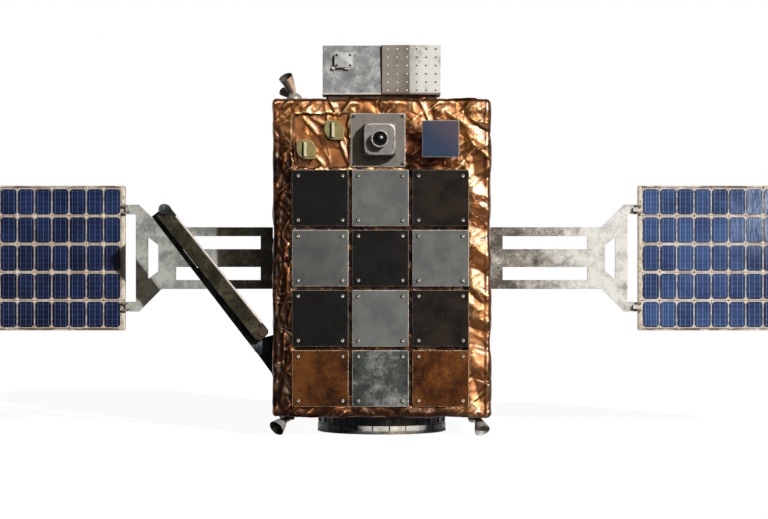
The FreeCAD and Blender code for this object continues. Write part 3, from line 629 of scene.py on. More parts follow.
def cellFinish(side):
    s = newSheet("solarCell" + side.title())
    isLeft = side == "left"
    low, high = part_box("cells_" + side)
    x, _, z = s.axes()
    x, up = x - low.x, z - low.z
    u = s.maths("FLOORED_MODULO", x, cellGrid["across"])
    v = s.maths("FLOORED_MODULO", up, cellGrid["up"])
    column = s.maths("FLOOR", x / cellGrid["across"])
    own = s.tileValue(column, s.maths("FLOOR", up / cellGrid["up"]))
    cloud = s.noise(11.0, 5.0, 0.6)
    speck = s.noise(260.0, 3.0, 0.7)
    # painted shade: the left wing's cells darker than the right wing's
    dark, light = (rgb(10, 19, 44), rgb(24, 40, 76)) if isLeft else (rgb(28, 46, 86), rgb(56, 82, 130))
    base = s.tone(cloud * 0.78 + own * 0.22, 0.3, 0.7, dark, light)
    if isLeft:   # painted shade, darker towards the lower left
        base = s.blend(s.between(x * 0.5 + up, 0.1, 0.55, 0.62, 0.0), base, rgb(8, 12, 30))
    # painted light: the right wing's outer columns lighter at the top and darker below
    outer = s.between(column + cloud * 3, 5.6, 9.0) * (0.0 if isLeft else 1.0)
    upper = s.between(z + cloud * 0.1, (low.z + high.z) / 2, high.z)
    streak = s.between(s.noise(80.0, 3.0, 0.6, 0.0, s.stretched((4.0, 1.0, 0.6))), 0.38, 0.62, 0.15, 1.0)
    base = s.blend(outer * upper * streak * 0.85, base, rgb(192, 206, 228))
    base = s.blend(outer * (1 - upper) * 0.45, base, rgb(20, 32, 66))
    bar = cellGrid["width"] / cellGrid["busbars"]
    band = cellGrid["height"] / cellGrid["bands"]
    lines = s.line(u - bar / 2, bar, 0.0015) * 0.4 + s.line(u, bar / 2, 0.0010) * 0.2
    lines = lines + s.line(v - band / 2, band, 0.0010) * 0.2
    lines = lines * s.between(speck + cloud * 0.5, 0.45, 0.95, 0.35, 1.3)
    base = s.blend(lines, base, rgb(92, 108, 148) if isLeft else rgb(134, 152, 190))
    edge = s.below(s.wave(u, cellGrid["width"]), 0.0006, 0.0024)
    edge = edge + s.below(s.wave(v, cellGrid["height"]), 0.0006, 0.0024)
    base = s.blend(edge * 0.6, base, rgb(14, 20, 40))
    # painted glints on the specks
    glint = s.between(speck, 0.64, 0.78) * (s.between(cloud, 0.5, 0.7) + outer * 0.8)
    base = s.blend(glint * 0.6, base, rgb(214, 220, 232))
    return s.finish(base, s.between(cloud, 0.2, 0.8, 0.3, 0.42), 0.0, s.bump(lines, 0.2, 0.0002),
                    **{"Coat Weight": 0.1, "Coat Roughness": 0.15, "Specular IOR Level": 0.15})


def panelFinish(side):
    s = newSheet("panelBeige" + side.title())
    low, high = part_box("cells_" + side)
    x, _, z = s.axes()
    toX = s.wave(x - (low.x - (cellGrid["across"] - cellGrid["width"]) / 2), cellGrid["across"])
    toZ = s.wave(z - (low.z - (cellGrid["up"] - cellGrid["height"]) / 2), cellGrid["up"])
    stain = s.noise(34.0, 6.0, 0.65)
    grime = s.noise(130.0, 4.0, 0.7)
    base = s.tone(stain, 0.35, 0.6, rgb(206, 190, 168), rgb(232, 225, 212))
    base = s.blend(s.between(grime, 0.52, 0.72) * 0.6, base, rgb(150, 110, 76))
    # painted shade: both panels a little darker, the left one much more
    base = s.blend(0.5 if side == "left" else 0.1, base, rgb(150, 134, 114), "MULTIPLY")
    diamond = s.below(toX + toZ * 0.8, 0.0030, 0.0050)
    base = s.blend(diamond, base, s.tone(stain, 0.46, 0.58, rgb(242, 236, 226), rgb(186, 132, 84)))
    seam = s.below(toZ, 0.0005, 0.0016) * s.between(s.noise(18.0, 3.0), 0.38, 0.52)
    base = s.blend(seam * 0.85, base, rgb(124, 84, 56))
    dash = s.below(toX, 0.0005, 0.0014) * s.between(s.noise(95.0, 2.0, 0.6), 0.47, 0.55)
    base = s.blend(dash * 0.85, base, rgb(92, 70, 54))
    border = s.between(z, high.z + 0.0012, high.z + 0.0032) + s.below(z, low.z - 0.0032, low.z - 0.0012)
    dirt = s.between(s.noise(60.0, 4.0, 0.7, 0.3, s.stretched((0.35, 1.0, 1.6))), 0.43, 0.55)
    base = s.blend(border * dirt * 0.9, base, rgb(84, 60, 44))
    return s.finish(base, s.between(stain, 0.3, 0.7, 0.7, 0.5), 0.0, s.bump(grime, 0.25, 0.0004))


plates = (   # dark and light colour, roughness
    ("plateDark", (9, 10, 11), (27, 28, 29), 0.6),
    ("plateLight", (97, 98, 96), (113, 113, 110), 0.5),
)
mottled = (   # dark, middle and light colour, fineness of the mottles, then contrast, roughness, metal
    ("plateCopper", (36, 19, 8), (88, 51, 22), (120, 74, 36), 13.0, 0.11),
    ("plateSilver", (44, 47, 46), (76, 79, 75), (146, 147, 142), 13.0, 0.12),
    ("cameraGrey", (106, 102, 98), (124, 119, 115), (140, 136, 131), 60.0),
    ("cameraDark", (98, 94, 89), (109, 104, 99), (117, 112, 107), 30.0),
    ("khakiCoat", (98, 88, 48), (128, 114, 68), (150, 138, 88), 60.0),
    ("galvanised", (100, 103, 104), (137, 138, 138), (188, 187, 184), 30.0, 0.12),
    ("coverSteel", (140, 142, 142), (178, 178, 176), (206, 204, 200), 60.0, 0.15, 0.5, 0.1),
    ("plinthDark", (20, 15, 12), (50, 36, 28), (92, 62, 46), 40.0, 0.15, 0.5, 0.1),
    ("nozzleSteel", (112, 106, 98), (158, 152, 143), (204, 198, 188), 70.0, 0.15, 0.4, 0.3),
    ("boomOlive", (18, 18, 15), (50, 47, 35), (98, 92, 72), 13.0, 0.14),
    ("boomDark", (16, 18, 22), (46, 50, 53), (108, 112, 112), 20.0),
    ("tapeCream", (150, 112, 80), (214, 200, 178), (236, 228, 212), 80.0),
)
worn = (   # paint and bare colour, fineness of the chips
    ("edgeDull", (62, 60, 58), (118, 114, 110)),
    ("edgeBright", (140, 138, 134), (206, 203, 197)),
    ("edgeCopper", (104, 70, 42), (196, 164, 130)),
    ("edgeKhaki", (158, 152, 112), (204, 199, 158), 120.0),
    ("cameraEdge", (132, 129, 125), (214, 209, 203), 170.0),
)
plain = (   # colour, roughness, then metal, fineness of the wear, how much darker it makes
    ("boltSteel", (138, 134, 128), 0.4, 1.0),
    ("boltDark", (52, 52, 52), 0.4, 0.8),
    ("lensGlass", (9, 8, 9), 0.14, 0.0, 8.0, 0.2),
    ("mirrorRim", (128, 130, 136), 0.4, 0.3),
    ("finCream", (216, 209, 164), 0.45, 0.0, 90.0, 0.15),
    ("slotBlack", (14, 13, 11), 0.7),
    ("coverTab", (222, 202, 178), 0.5),
    ("lipCream", (230, 218, 198), 0.5, 0.0, 90.0, 0.3),
    ("dimpleLit", (246, 240, 200), 0.4, 0.0, 60.0, 0.1),
    ("holeDark", (84, 82, 78), 0.6),
    ("mountDark", (44, 42, 40), 0.45, 0.5),
    ("hingeBrown", (128, 114, 98), 0.55),
    ("boomEdge", (228, 212, 204), 0.5, 0.0, 70.0, 0.2),
    ("boomCap", (62, 44, 36), 0.5, 0.2),
    ("structureMetal", (112, 112, 110), 0.45, 0.6),
)
finishes = {}
for rows, made in ((plates, plateFinish), (mottled, mottledFinish), (worn, wornFinish),
                   (plain, plainFinish)):
    for name, *values in rows:
        finishes[name] = made(name, *(rgb(*v) if isinstance(v, tuple) else v for v in values))
for made in (foilFinish, perforatedFinish, mirrorFinish, radiatorFinish, bellInsideFinish, bellTopFinish,
             ringFinish, shoeFinish, yokeFinish):
    look = made()
    finishes[look.name.split(".")[0]] = look
for side in ("left", "right"):
    finishes["cells_" + side] = cellFinish(side)
    finishes["panel_" + side] = panelFinish(side)
print("finishes ready,", len(finishes))


foil = {
    "step": 0.0034,       # grid spacing
    "frontStep": 0.0028,  # the same, of the front sheet
    "base": 0.2585,       # half width of the sheet's base plane
    "overlap": 0.001,     # the front and back sheets go this far over the others
    "short": 0.0025,      # the sheets' base below the body's upper end
    "radius": 0.009,      # how softly the blanket turns over the body's edges
    "lip": 0.014,         # how far it goes past an edge
    "thick": 0.0012,
    "sharpness": 0.0005,  # how soon a fold counts as a crease
    "satin": 0.0125,      # folds wider than this have soft crests
    "highest": 0.011,     # the folds' crest above the base plane
    "lowest": -0.0012,
}


def crumple(u, v, spacing, seed, stretch=1.0, angle=0.0):
    # a crumpled sheet, 0 to 1: random heights at scattered points, flat facets between them
    rng = np.random.default_rng(seed)
    a = math.radians(angle)
    x = (u * math.cos(a) + v * math.sin(a)) / stretch
    y = -u * math.sin(a) + v * math.cos(a)
    reach = 0.62
    count = int(2 * reach / spacing)
    line = np.linspace(-reach, reach, count)
    px, py = (g.ravel() + rng.uniform(-0.45, 0.45, count * count) * spacing for g in np.meshgrid(line, line))
    tall = np.where(rng.uniform(0, 1, count * count) < 0.5, rng.uniform(0, 0.25, count * count),
                    rng.uniform(0.7, 1, count * count))
    near = (px > x.min() - 2 * spacing) & (px < x.max() + 2 * spacing)
    near &= (py > y.min() - 2 * spacing) & (py < y.max() + 2 * spacing)
    px, py, tall = px[near], py[near], tall[near]
    found = delaunay_2d_cdt([Vector(p) for p in zip(px, py)], [], [], 0, 1e-7)
    spots = np.array([tuple(p) for p in found[0]])
    tall = np.array([tall[own[0]] for own in found[3]])
    order = np.argsort(x)
    sx, sy = x[order], y[order]
    out = np.zeros_like(sx)
    for a, b, c in found[2]:
        (ax, ay), (bx, by), (cx, cy) = spots[a], spots[b], spots[c]
        first, last = np.searchsorted(sx, (min(ax, bx, cx), max(ax, bx, cx)))
        if first == last:
            continue
        qx, qy = sx[first:last] - cx, sy[first:last] - cy
        area = (by - cy) * (ax - cx) + (cx - bx) * (ay - cy)
        wa = ((by - cy) * qx + (cx - bx) * qy) / area
        wb = ((cy - ay) * qx + (ax - cx) * qy) / area
        inside = (wa >= -1e-9) & (wb >= -1e-9) & (wa + wb <= 1 + 1e-9)
        part = out[first:last]
        part[inside] = (wa * tall[a] + wb * tall[b] + (1 - wa - wb) * tall[c])[inside]
    result = np.zeros_like(out)
    result[order] = out
    return result


def soft(u, v, size, seed):   # a slow random field, 0 to 1
    rng = np.random.default_rng(seed)
    total = np.zeros_like(u)
    for _ in range(5):
        a = rng.uniform(0, 2 * math.pi)
        wave = (u * math.cos(a) + v * math.sin(a)) / size * rng.uniform(0.6, 1.5)
        total += np.sin(2 * math.pi * (wave + rng.uniform()))
    return 0.5 + 0.5 * np.tanh(total / 2)


def ridge(u, v, start, angle, length, width, height, bend=0.0):
    # a fold that is steep on one side, fades at its ends and may bend
    a = math.radians(angle)
    along = (u - start[0]) * math.cos(a) + (v - start[1]) * math.sin(a)
    across = -(u - start[0]) * math.sin(a) + (v - start[1]) * math.cos(a) - bend * along * along
    fade = np.sin(math.pi * np.clip(along / length, 0, 1)) ** 0.6
    side = np.where(across > 0, width, width * 0.4)
    rise = np.maximum(1 - np.abs(across) / (side * 2), 0)
    return height * fade * (rise * rise * (3 - 2 * rise) if width > foil["satin"] else rise ** 1.3)


def creases(u, height):   # 1 on crests, 0 in valleys, 0.5 on flats
    across = len(np.unique(np.round(u, 5)))
    own = height.reshape(-1, across)
    around = np.pad(own, 2, mode="edge")
    near = (around[1:-3, 2:-2] + around[3:-1, 2:-2] + around[2:-2, 1:-3] + around[2:-2, 3:-1]) / 4
    wide = (around[:-4, 2:-2] + around[4:, 2:-2] + around[2:-2, :-4] + around[2:-2, 4:]) / 4
    bend = (own - near) * 0.6 + (own - wide) * 0.4
    return 0.5 + 0.5 * np.tanh(bend.ravel() / foil["sharpness"])


def blanket(nodeName, uAxis, vAxis, centre, halfU, halfV, lip, heights):
    # a folded sheet with two half sizes, round the body's edges if it has a lip
    uAxis, vAxis, centre = (Vector(a) for a in (uAxis, vAxis, centre))
    wide = 2 * (halfU + lip)
    tall = 2 * (halfV + lip)
    step = foil["frontStep"] if nodeName == "foil_front" else foil["step"]
    piece = grid(int(wide / step), int(tall / step), camel(nodeName))
    co = pointsOf(piece.data)
    u = co[:, 0] * wide
    v = co[:, 1] * tall
    height = np.clip(heights(u, v), foil["lowest"], foil["highest"])
    r = foil["radius"] if lip else 0.0001
    innerU = halfU - r
    innerV = halfV - r
    overU = np.sign(u) * np.maximum(np.abs(u) - innerU, 0)
    overV = np.sign(v) * np.maximum(np.abs(v) - innerV, 0)
    over = np.hypot(overU, overV)
    safe = np.maximum(over, 1e-9)
    turn = np.minimum(over / r, math.pi / 2) if lip else np.zeros_like(over)
    reach = r * np.sin(turn) if lip else over
    drop = r * (1 - np.cos(turn)) + np.maximum(over - r * math.pi / 2, 0) if lip else np.zeros_like(over)
    reach = reach + height * np.sin(turn) * 0.5
    pu = np.clip(u, -innerU, innerU) + overU / safe * reach
    pv = np.clip(v, -innerV, innerV) + overV / safe * reach
    ph = -drop + height * np.cos(turn)
    out = uAxis.cross(vAxis)
    setPoints(piece, np.outer(pu, uAxis) + np.outer(pv, vAxis) + np.outer(ph, out) + np.array(centre))
    fold = piece.data.attributes.new("fold", "FLOAT", "POINT")
    fold.data.foreach_set("value", creases(u, height))
    modify(piece, "SOLIDIFY", thickness=foil["thick"], offset=-1.0, use_rim_only=True)
    smooth(piece, 70.0)
    place(piece, "foilCopper")
    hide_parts(nodeName)
    return piece


pocket = {   # the recessed flat field round the antenna knobs
    "left": fieldLeft + 0.002,
    "right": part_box("camera_plate")[0].x - 0.005,
    "low": fieldTop + 0.005,
    "high": halfTall - 0.036,
    "rim": 0.0050,
    "deep": 0.0028,
}


def marginFolds():
    # start (across, up), angle, length, width, height, bend of the front blanket's long folds
    draw = np.random.default_rng(11).uniform
    folds = []
    v = -halfTall
    while v < halfTall - 0.08:   # narrow ones across the left margin
        folds.append(((fieldLeft + 0.02, v), 180 - draw(-55, 55), draw(0.05, 0.09),
                      draw(0.003, 0.0055), draw(0.003, 0.0055), draw(-7, 7)))
        v += draw(0.030, 0.055)
    for _ in range(8):   # a bundle down the body's left edge
        folds.append(((draw(-0.257, -0.238), draw(-0.34, 0.06)), 90 + draw(-8, 8), draw(0.08, 0.22),
                      draw(0.0022, 0.004), draw(0.004, 0.0062), draw(-0.4, 0.4)))
    u = -halfWide
    while u < halfWide:   # a fan from the top edge
        reach = draw(0.035, 0.06) if pocket["right"] > u else draw(0.05, 0.11)
        folds.append(((u, halfTall + 0.01), -90 + draw(-60, 60), reach,
                      draw(0.007, 0.012), draw(0.004, 0.007), draw(-3, 3)))
        u += draw(0.05, 0.08)
    return folds


pocketFolds = (   # the same, for the few long creases in the pocket
    ((-0.192, 0.341), -49, 0.066, 0.0060, 0.0036, 0.0),
    ((-0.178, 0.343), -31, 0.060, 0.0055, 0.0026, 0.0),
    ((-0.102, 0.288), -73, 0.076, 0.0060, 0.0042, 1.0),
    ((-0.162, 0.248), -49, 0.040, 0.0050, 0.0032, 0.0),
    ((-0.132, 0.344), -80, 0.026, 0.0030, 0.0040, 0.0),
    ((-0.206, 0.300), -84, 0.075, 0.0018, 0.0020, 0.0),
    ((-0.140, 0.262), -62, 0.040, 0.0020, 0.0018, 0.0),
    ((-0.128, 0.264), -84, 0.040, 0.0020, 0.0016, 0.0),
)


def ridges(u, v, height, folds, lift=0.001):
    for start, angle, length, width, tall, bend in folds:
        height = np.maximum(height, ridge(u, v, start, angle, length, width, tall, bend) + lift)
    return height


layers = {   # the front sheet's crumpled layers: distance between points, seed, stretch, angle
    "hungLeft": (0.026, 3, 2.6, -44),
    "hungRight": (0.024, 4, 2.6, 33),
    "hungBroad": (0.030, 21, 2.4, -24),
    "narrowLeft": (0.0085, 15, 3.6, -40),
    "narrowRight": (0.0085, 16, 3.6, 36),
    "upright": (0.012, 7, 4.0, 74),
    "crossing": (0.007, 17, 4.0, -58),
    "fine": (0.010, 6),
    "pocket": (0.05, 5),
    "behind": (0.02, 8),
}
heightOf = {   # of those layers' crests, and of the sheet's broader shapes
    "hung": 0.0088,
    "hungBroad": 0.0022,   # added to that on the right
    "narrow": 0.0019,
    "upright": 0.0045,
    "crossing": 0.0015,
    "fine": 0.0022,
    "pocket": 0.0022,
    "behind": 0.002,
    "bulge": 0.0045,
    "wave": 0.006,
}


def within(u, v, left, right, low, high):   # how far inside a rectangle
    return np.minimum(np.minimum(u - left, right - u), np.minimum(v - low, high - v))


def frontHeights(u, v):
    def layer(kind):
        return crumple(u, v, *layers[kind])

    # steep hanging folds that lean one way or the other, broader ones on the right
    lean = np.clip(soft(u * 0.6, v, 0.15, 12) * 2.4 - 0.7, 0, 1)
    right = np.clip((u - fieldRight + 0.01) / 0.02, 0, 1)
    hung = layer("hungLeft") * lean + layer("hungRight") * (1 - lean)
    hung = hung * (1 - right) + layer("hungBroad") * right
    hung = hung * (heightOf["hung"] + heightOf["hungBroad"] * right)
    hung = hung + (layer("narrowLeft") * lean + layer("narrowRight") * (1 - lean)) * heightOf["narrow"]
    # upright ones on the left
    upright = layer("upright") * heightOf["upright"] + layer("crossing") * heightOf["crossing"]
    left = np.clip((fieldLeft + 0.01 - u) / 0.01, 0, 1) * np.clip((halfTall - 0.1 - v) / 0.03, 0, 1)
    height = hung * (1 - left) + upright * left
    # a fine crumple here and there, mostly above and below the plates
    fine = layer("fine")
    band = np.clip((v - fieldTop) / 0.02, 0, 1) + np.clip((fieldLow - v) / 0.01, 0, 1)
    patches = np.clip(soft(u, v, 0.10, 9) * 2 - 0.6, 0, 1) * np.clip(band, 0.25, 1)
    height = ridges(u, v, height + fine * heightOf["fine"] * patches, marginFolds())
    # the blanket bulges most beside the plates and falls towards the body's edges
    fall = np.minimum((halfWide - np.abs(u)) / (halfWide - fieldRight), 1.0)
    height = height + heightOf["bulge"] * np.clip(fall, 0, 1) - 0.002
    # the pocket is flat inside a crumpled rim
    inside = within(u, v, pocket["left"], pocket["right"], pocket["low"], pocket["high"])
    inside = inside + (soft(u, v, 0.035, 33) - 0.5) * 0.005
    flat = ridges(u, v, layer("pocket") * heightOf["pocket"], pocketFolds, 0.0008)
    rim = np.clip(1 - np.abs(inside) / pocket["rim"], 0, 1)
    height = np.where(inside > 0, flat, height) + rim * (fine - 0.35) * pocket["deep"]
    # held down behind the plates
    under = np.clip(within(u, v, fieldLeft, fieldRight, fieldLow, fieldTop) / 0.012, 0, 1)
    height = height * (1 - under) + layer("behind") * heightOf["behind"] * under - 0.001
    # slow waves along the body's edges
    edge = np.clip((np.abs(u) - halfWide + 0.014) / 0.010, 0, 1)
    return height + edge * soft(v, u * 0, 0.28, 14) * heightOf["wave"]


def randomFolds(rng, count):
    draw = rng.uniform
    return [((draw(-halfWide, halfWide), draw(-halfTall, halfTall)), draw(0, 360), draw(0.1, 0.25),
             draw(0.008, 0.014), draw(0.003, 0.006), draw(-2, 2)) for _ in range(count)]


def sideHeights(seed):
    def heights(u, v):
        drape = crumple(u, v, 0.03, seed + 1, 2.2, seed * 17) * 0.006
        drape = drape + crumple(u, v, 0.018, seed + 2) * 0.001
        height = ridges(u, v, drape, randomFolds(np.random.default_rng(seed), 30), 0.0)
        flat = np.clip(np.hypot(u, v) / 0.02 - 3.0, 0, 1)   # held down round the wing drive
        tuck = np.clip((halfWide - 0.016 - np.abs(u)) / 0.02, 0, 1)   # and under the front and back sheets
        height = np.minimum(height - 0.0008, 0.0042) + 0.0035 * soft(u * 0.1, v, 0.11, seed) * flat
        return height * tuck - 0.001 * (1 - tuck)
    return heights


def backHeights(u, v):
    drape = crumple(u, v, 0.03, 22, 2.2, 21) * 0.0055 + crumple(u, v, 0.014, 23) * 0.0014
    return np.minimum(ridges(u, v, drape, randomFolds(np.random.default_rng(24), 36)) - 0.0008, 0.0075)


def makeBlankets():
    wide, narrow = foil["base"] + foil["overlap"], foil["base"] - foil["overlap"]
    tall = halfTall - foil["short"]
    top, bottom = bodyMid + tall - foil["overlap"], bodyMid - tall + foil["overlap"]
    outer = (wide, tall + foil["overlap"], foil["lip"])
    side = (narrow, tall, 0.0)
    flat = (narrow, narrow, 0.0)
    # node, across and up on the sheet, its middle, half sizes and lip, its folds
    blanket("foil_front", (1, 0, 0), (0, 0, 1), (0, -foil["base"], bodyMid), *outer, frontHeights)
    blanket("foil_back", (-1, 0, 0), (0, 0, 1), (0, foil["base"], bodyMid), *outer, backHeights)
    right = blanket("foil_right", (0, 1, 0), (0, 0, 1), (narrow, 0, bodyMid), *side, sideHeights(31))
    left = blanket("foil_left", (0, -1, 0), (0, 0, 1), (-narrow, 0, bodyMid), *side, sideHeights(41))
    blanket("foil_top", (1, 0, 0), (0, 1, 0), (0, 0, top), *flat, sideHeights(51))
    blanket("foil_bottom", (1, 0, 0), (0, -1, 0), (0, 0, bottom), *flat, sideHeights(61))
    flangeLow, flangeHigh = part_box("drive_housing_right")
    reach = (flangeHigh.z - flangeLow.z) / 2 + 0.001
    for piece in (left, right):
        cutAway(piece, lambda c, n: math.hypot(c.y, c.z - bodyMid) < reach)


makeBlankets()
print("foil blankets made")


def markInside(piece, index):   # gives the inner faces of bells a material of their own
    co, groups = solids(piece.data)
    owner = {}
    for number, group in enumerate(groups):
        for vertex in group:
            owner[vertex] = number
    axes = []
    for group in groups:
        points = co[group] - co[group].mean(0)
        sizes, ways = np.linalg.eigh(points.T @ points)
        lone = 2 if sizes[2] - sizes[1] > sizes[1] - sizes[0] else 0
        axes.append((co[group].mean(0), ways[:, lone]))
    for face in piece.data.polygons:
        middle, way = axes[owner[face.vertices[0]]]
        out = np.array(face.center) - middle
        out = out - way * out.dot(way)
        if out.dot(np.array(face.normal)) < -0.1 * np.linalg.norm(out):
            face.material_index = index


head = {   # of a screw, in shares of its radius and height
    "sides": 16,
    "slope": 0.5,
    "rise": 0.35,
    "land": 0.12,
    "socket": 0.45,
    "round": 0.16,
}


def domeScrew(radius, height):
    piece = drum(head["sides"], radius, height)
    openEdit(piece, lambda c, n: n.z > 0.9)
    bpy.ops.mesh.inset(thickness=radius * head["slope"], depth=height * head["rise"])
    bpy.ops.mesh.inset(thickness=radius * head["land"], depth=0.0)
    bpy.ops.mesh.extrude_region_move(TRANSFORM_OT_translate={"value": (0, 0, -height * head["socket"])})
    closeEdit()
    breakEdges(piece, radius * head["round"], 25)
    smooth(piece, 40)
    return piece


def facing(direction, at):   # a matrix that turns +Z to a direction and moves to a point
    turn = Vector((0, 0, 1)).rotation_difference(Vector(direction)).to_matrix().to_4x4()
    return Matrix.Translation(Vector(at)) @ turn


def turns(count):   # angles evenly round a circle, from half a step on
    return [2 * math.pi * (k + 0.5) / count for k in range(count)]


def scatter(name, template, places, look, direction=(0, -1, 0)):
    made = [copied(template, facing(direction, at)) for at in places]
    discard(template)
    place(joined(made, name), look)


screws = {   # radius and height of the heads, and how far in from the corner they sit
    "plate": (0.0048, 0.0026, 0.0146),
    "camera": (0.0036, 0.0014, 0.0073),
    "cover": (0.0030, 0.0012, 0.0056),
}


def cornerScrews(kind, boxes, look):
    radius, height, inset = screws[kind]
    front = boxes[0][0].y
    places = [(x, front, z) for low, high in boxes for x in (low.x + inset, high.x - inset)
              for z in (low.z + inset, high.z - inset)]
    scatter(kind + "Screws", domeScrew(radius, height), places, look)


def makePlates():
    edges = {"dark": "edgeDull", "light": "edgeBright", "copper": "edgeCopper", "silver": "edgeBright"}
    for kind, edge in edges.items():
        dress("plates_" + kind, "plate" + kind.title(), 0.0014, edge=edge)
    cornerScrews("plate", plateBoxes, "boltSteel")


housing = {
    "vertices": 96,
    # depth from the plate, half width, corner radius: square at the foot, round at the face
    "rings": ((0.0, 0.0385, 0.004), (0.033, 0.0385, 0.004), (0.045, 0.038, 0.0155), (0.048, 0.0362, 0.0175)),
    "edge": 0.0012,
    "faceInset": 0.004,
}


def squareRing(across, up, half, corner):
    # where a ray from the middle leaves a rounded square
    a, b = max(abs(across), abs(up)), min(abs(across), abs(up))
    inner = half - corner
    if b * half / a <= inner:
        reach = half / a
    else:
        along = inner * (a + b)
        reach = (along + math.sqrt(along * along - (a * a + b * b) * (2 * inner * inner - corner * corner)))
        reach = reach / (a * a + b * b)
    return across * reach, up * reach


def makeHousing():
    low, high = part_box("camera_housing")
    rings = housing["rings"]
    piece = drum(housing["vertices"], rings[0][1], rings[1][0])
    piece.name = "cameraHousing"
    openEdit(piece, lambda c, n: n.z > 0.9)
    for first, last in zip(rings[1:], rings[2:]):
        bpy.ops.mesh.extrude_region_move(TRANSFORM_OT_translate={"value": (0, 0, last[0] - first[0])})
    closeEdit()
    for vertex in piece.data.vertices:
        nearest = min(rings, key=lambda r: abs(r[0] - vertex.co.z))
        vertex.co.x, vertex.co.y = squareRing(vertex.co.x, vertex.co.y, nearest[1], nearest[2])
    painted(piece, "cameraGrey", "cameraEdge")
    breakEdges(piece, housing["edge"], 28, 3, 1)
    openEdit(piece, lambda c, n: n.z > 0.99)
    bpy.ops.mesh.inset(thickness=housing["faceInset"], depth=0.0)
    closeEdit()
    piece.data.transform(facing((0, -1, 0), ((low.x + high.x) / 2, high.y, (low.z + high.z) / 2)))
    shade(piece)
    place(piece)
    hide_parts("camera_housing")


def makeCamera():
    dress("camera_plate", "cameraDark", 0.0018, edge="cameraEdge")
    makeHousing()
    dress("camera_barrel", "cameraGrey", 0.0010, edge="cameraEdge")
    dress("camera_lens", "lensGlass", 0.0)
    cornerScrews("camera", [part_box("camera_plate")], "boltDark")


def makeMirror():
    dress("mirror_frame", "mirrorRim", 0.0006)
    dress("mirror_glass", "mirrorBlue", 0.0004)


knobs = {
    "finShift": -0.003,   # the fin's middle from the knob's middle
    "finWide": 0.006,
    "finDeep": 0.007,     # from the fin's tip back to the knob's face
    "finShadowWide": 0.0052,
    "finShadowTall": 0.036,
    "finShadowThick": 0.0004,
}


def makeKnobs():
    piece = dress("antenna_knobs", "khakiCoat", 0.0013, edge="edgeKhaki")
    piece.data.materials.append(finishes["finCream"])
    boxes = islands("antenna_knobs")
    face = boxes[0][0].y + knobs["finDeep"]
    for polygon in piece.data.polygons:
        if polygon.center.y < face - 0.0015:   # the fin
            polygon.material_index = 2
    # painted shadow: a black strip left of each fin, where its shadow falls
    finShadows = []
    for low, high in boxes:
        right = (low.x + high.x) / 2 + knobs["finShift"] - knobs["finWide"] / 2
        left = right - knobs["finShadowWide"]
        middle, half = (low.z + high.z) / 2, knobs["finShadowTall"] / 2
        finShadows.append(block((left, face - knobs["finShadowThick"], middle - half),
                           (right, face + 0.0002, middle + half), 0.0003))
    place(joined(finShadows, "knobSlots"), "slotBlack")


perforation = {
    "across": 6,
    "down": 6,
    "left": 0.0135,       # first column from the box's left side
    "right": 0.0120,
    "low": 0.0096,
    "high": 0.0099,
    "ridgeShift": -0.004,
    "sunk": 0.0004,       # the dimples' rims go this far into the face
    "lit": (0.00228, 0.0012),    # radius and height of the dimples left of the ridge
    "dark": (0.00192, 0.0008),   # and right of it
}


def perforations():   # place and column of every hole on the leaning, ridged face
    low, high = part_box("top_box_perforated")
    wide, tall = high.x - low.x, high.z - low.z
    ridgeX = (low.x + high.x) / 2 + perforation["ridgeShift"]
    bottom = [v.co for v in nodes["top_box_perforated"].data.vertices if v.co.z < low.z + 0.0005]
    foot = min(c.y for c in bottom if abs(c.x - low.x) < 0.001)
    crest = min(c.y for c in bottom)
    places = []
    for column in range(perforation["across"]):
        step = (wide - perforation["left"] - perforation["right"]) / (perforation["across"] - 1)
        x = low.x + perforation["left"] + column * step
        off = (x - low.x) / (ridgeX - low.x) if x < ridgeX else (high.x - x) / (high.x - ridgeX)
        for row in range(perforation["down"]):
            step = (tall - perforation["low"] - perforation["high"]) / (perforation["down"] - 1)
            rise = perforation["low"] + row * step
            y = foot + (crest - foot) * off - (crest - low.y) * rise / tall
            places.append((Vector((x, y + perforation["sunk"], low.z + rise)), column))
    return places


def dimple(radius, height):   # a small pressed dome
    piece = ball(12, 6, radius)
    cutAway(piece, lambda c, n: c.z < 0)
    piece.scale = (1, 1, height / radius)
    settle(piece)
    smooth(piece, 60)
    return piece


topBoxes = {
    "coverLow": (0.0300, 0.0640),    # from the plain box's lower left corner
    "coverHigh": (0.0735, 0.1000),
    "coverThick": 0.0085,
    "coverCorner": 0.0048,
    "flange": 0.0022,     # painted shade: a black strip along the cover's left side, where its shadow falls
    "gap": 0.0042,        # the dark opening along the cover's left side
    "tab": 0.0066,
    "tabs": ((-0.0065, 0.0015), (0.0245, 0.0375)),
    "lip": 0.0024,
    "plinth": (-0.126, 0.134),
    "underShadeInset": 0.01,
    "gapShadeBehind": 0.001,  # the painted shade between the boxes is this far behind their fronts
    "boots": ((-0.061, 0.026, 0.0085), (0.095, 0.020, 0.0075)),   # across, half width, height
    "bootDeep": 0.013,
}


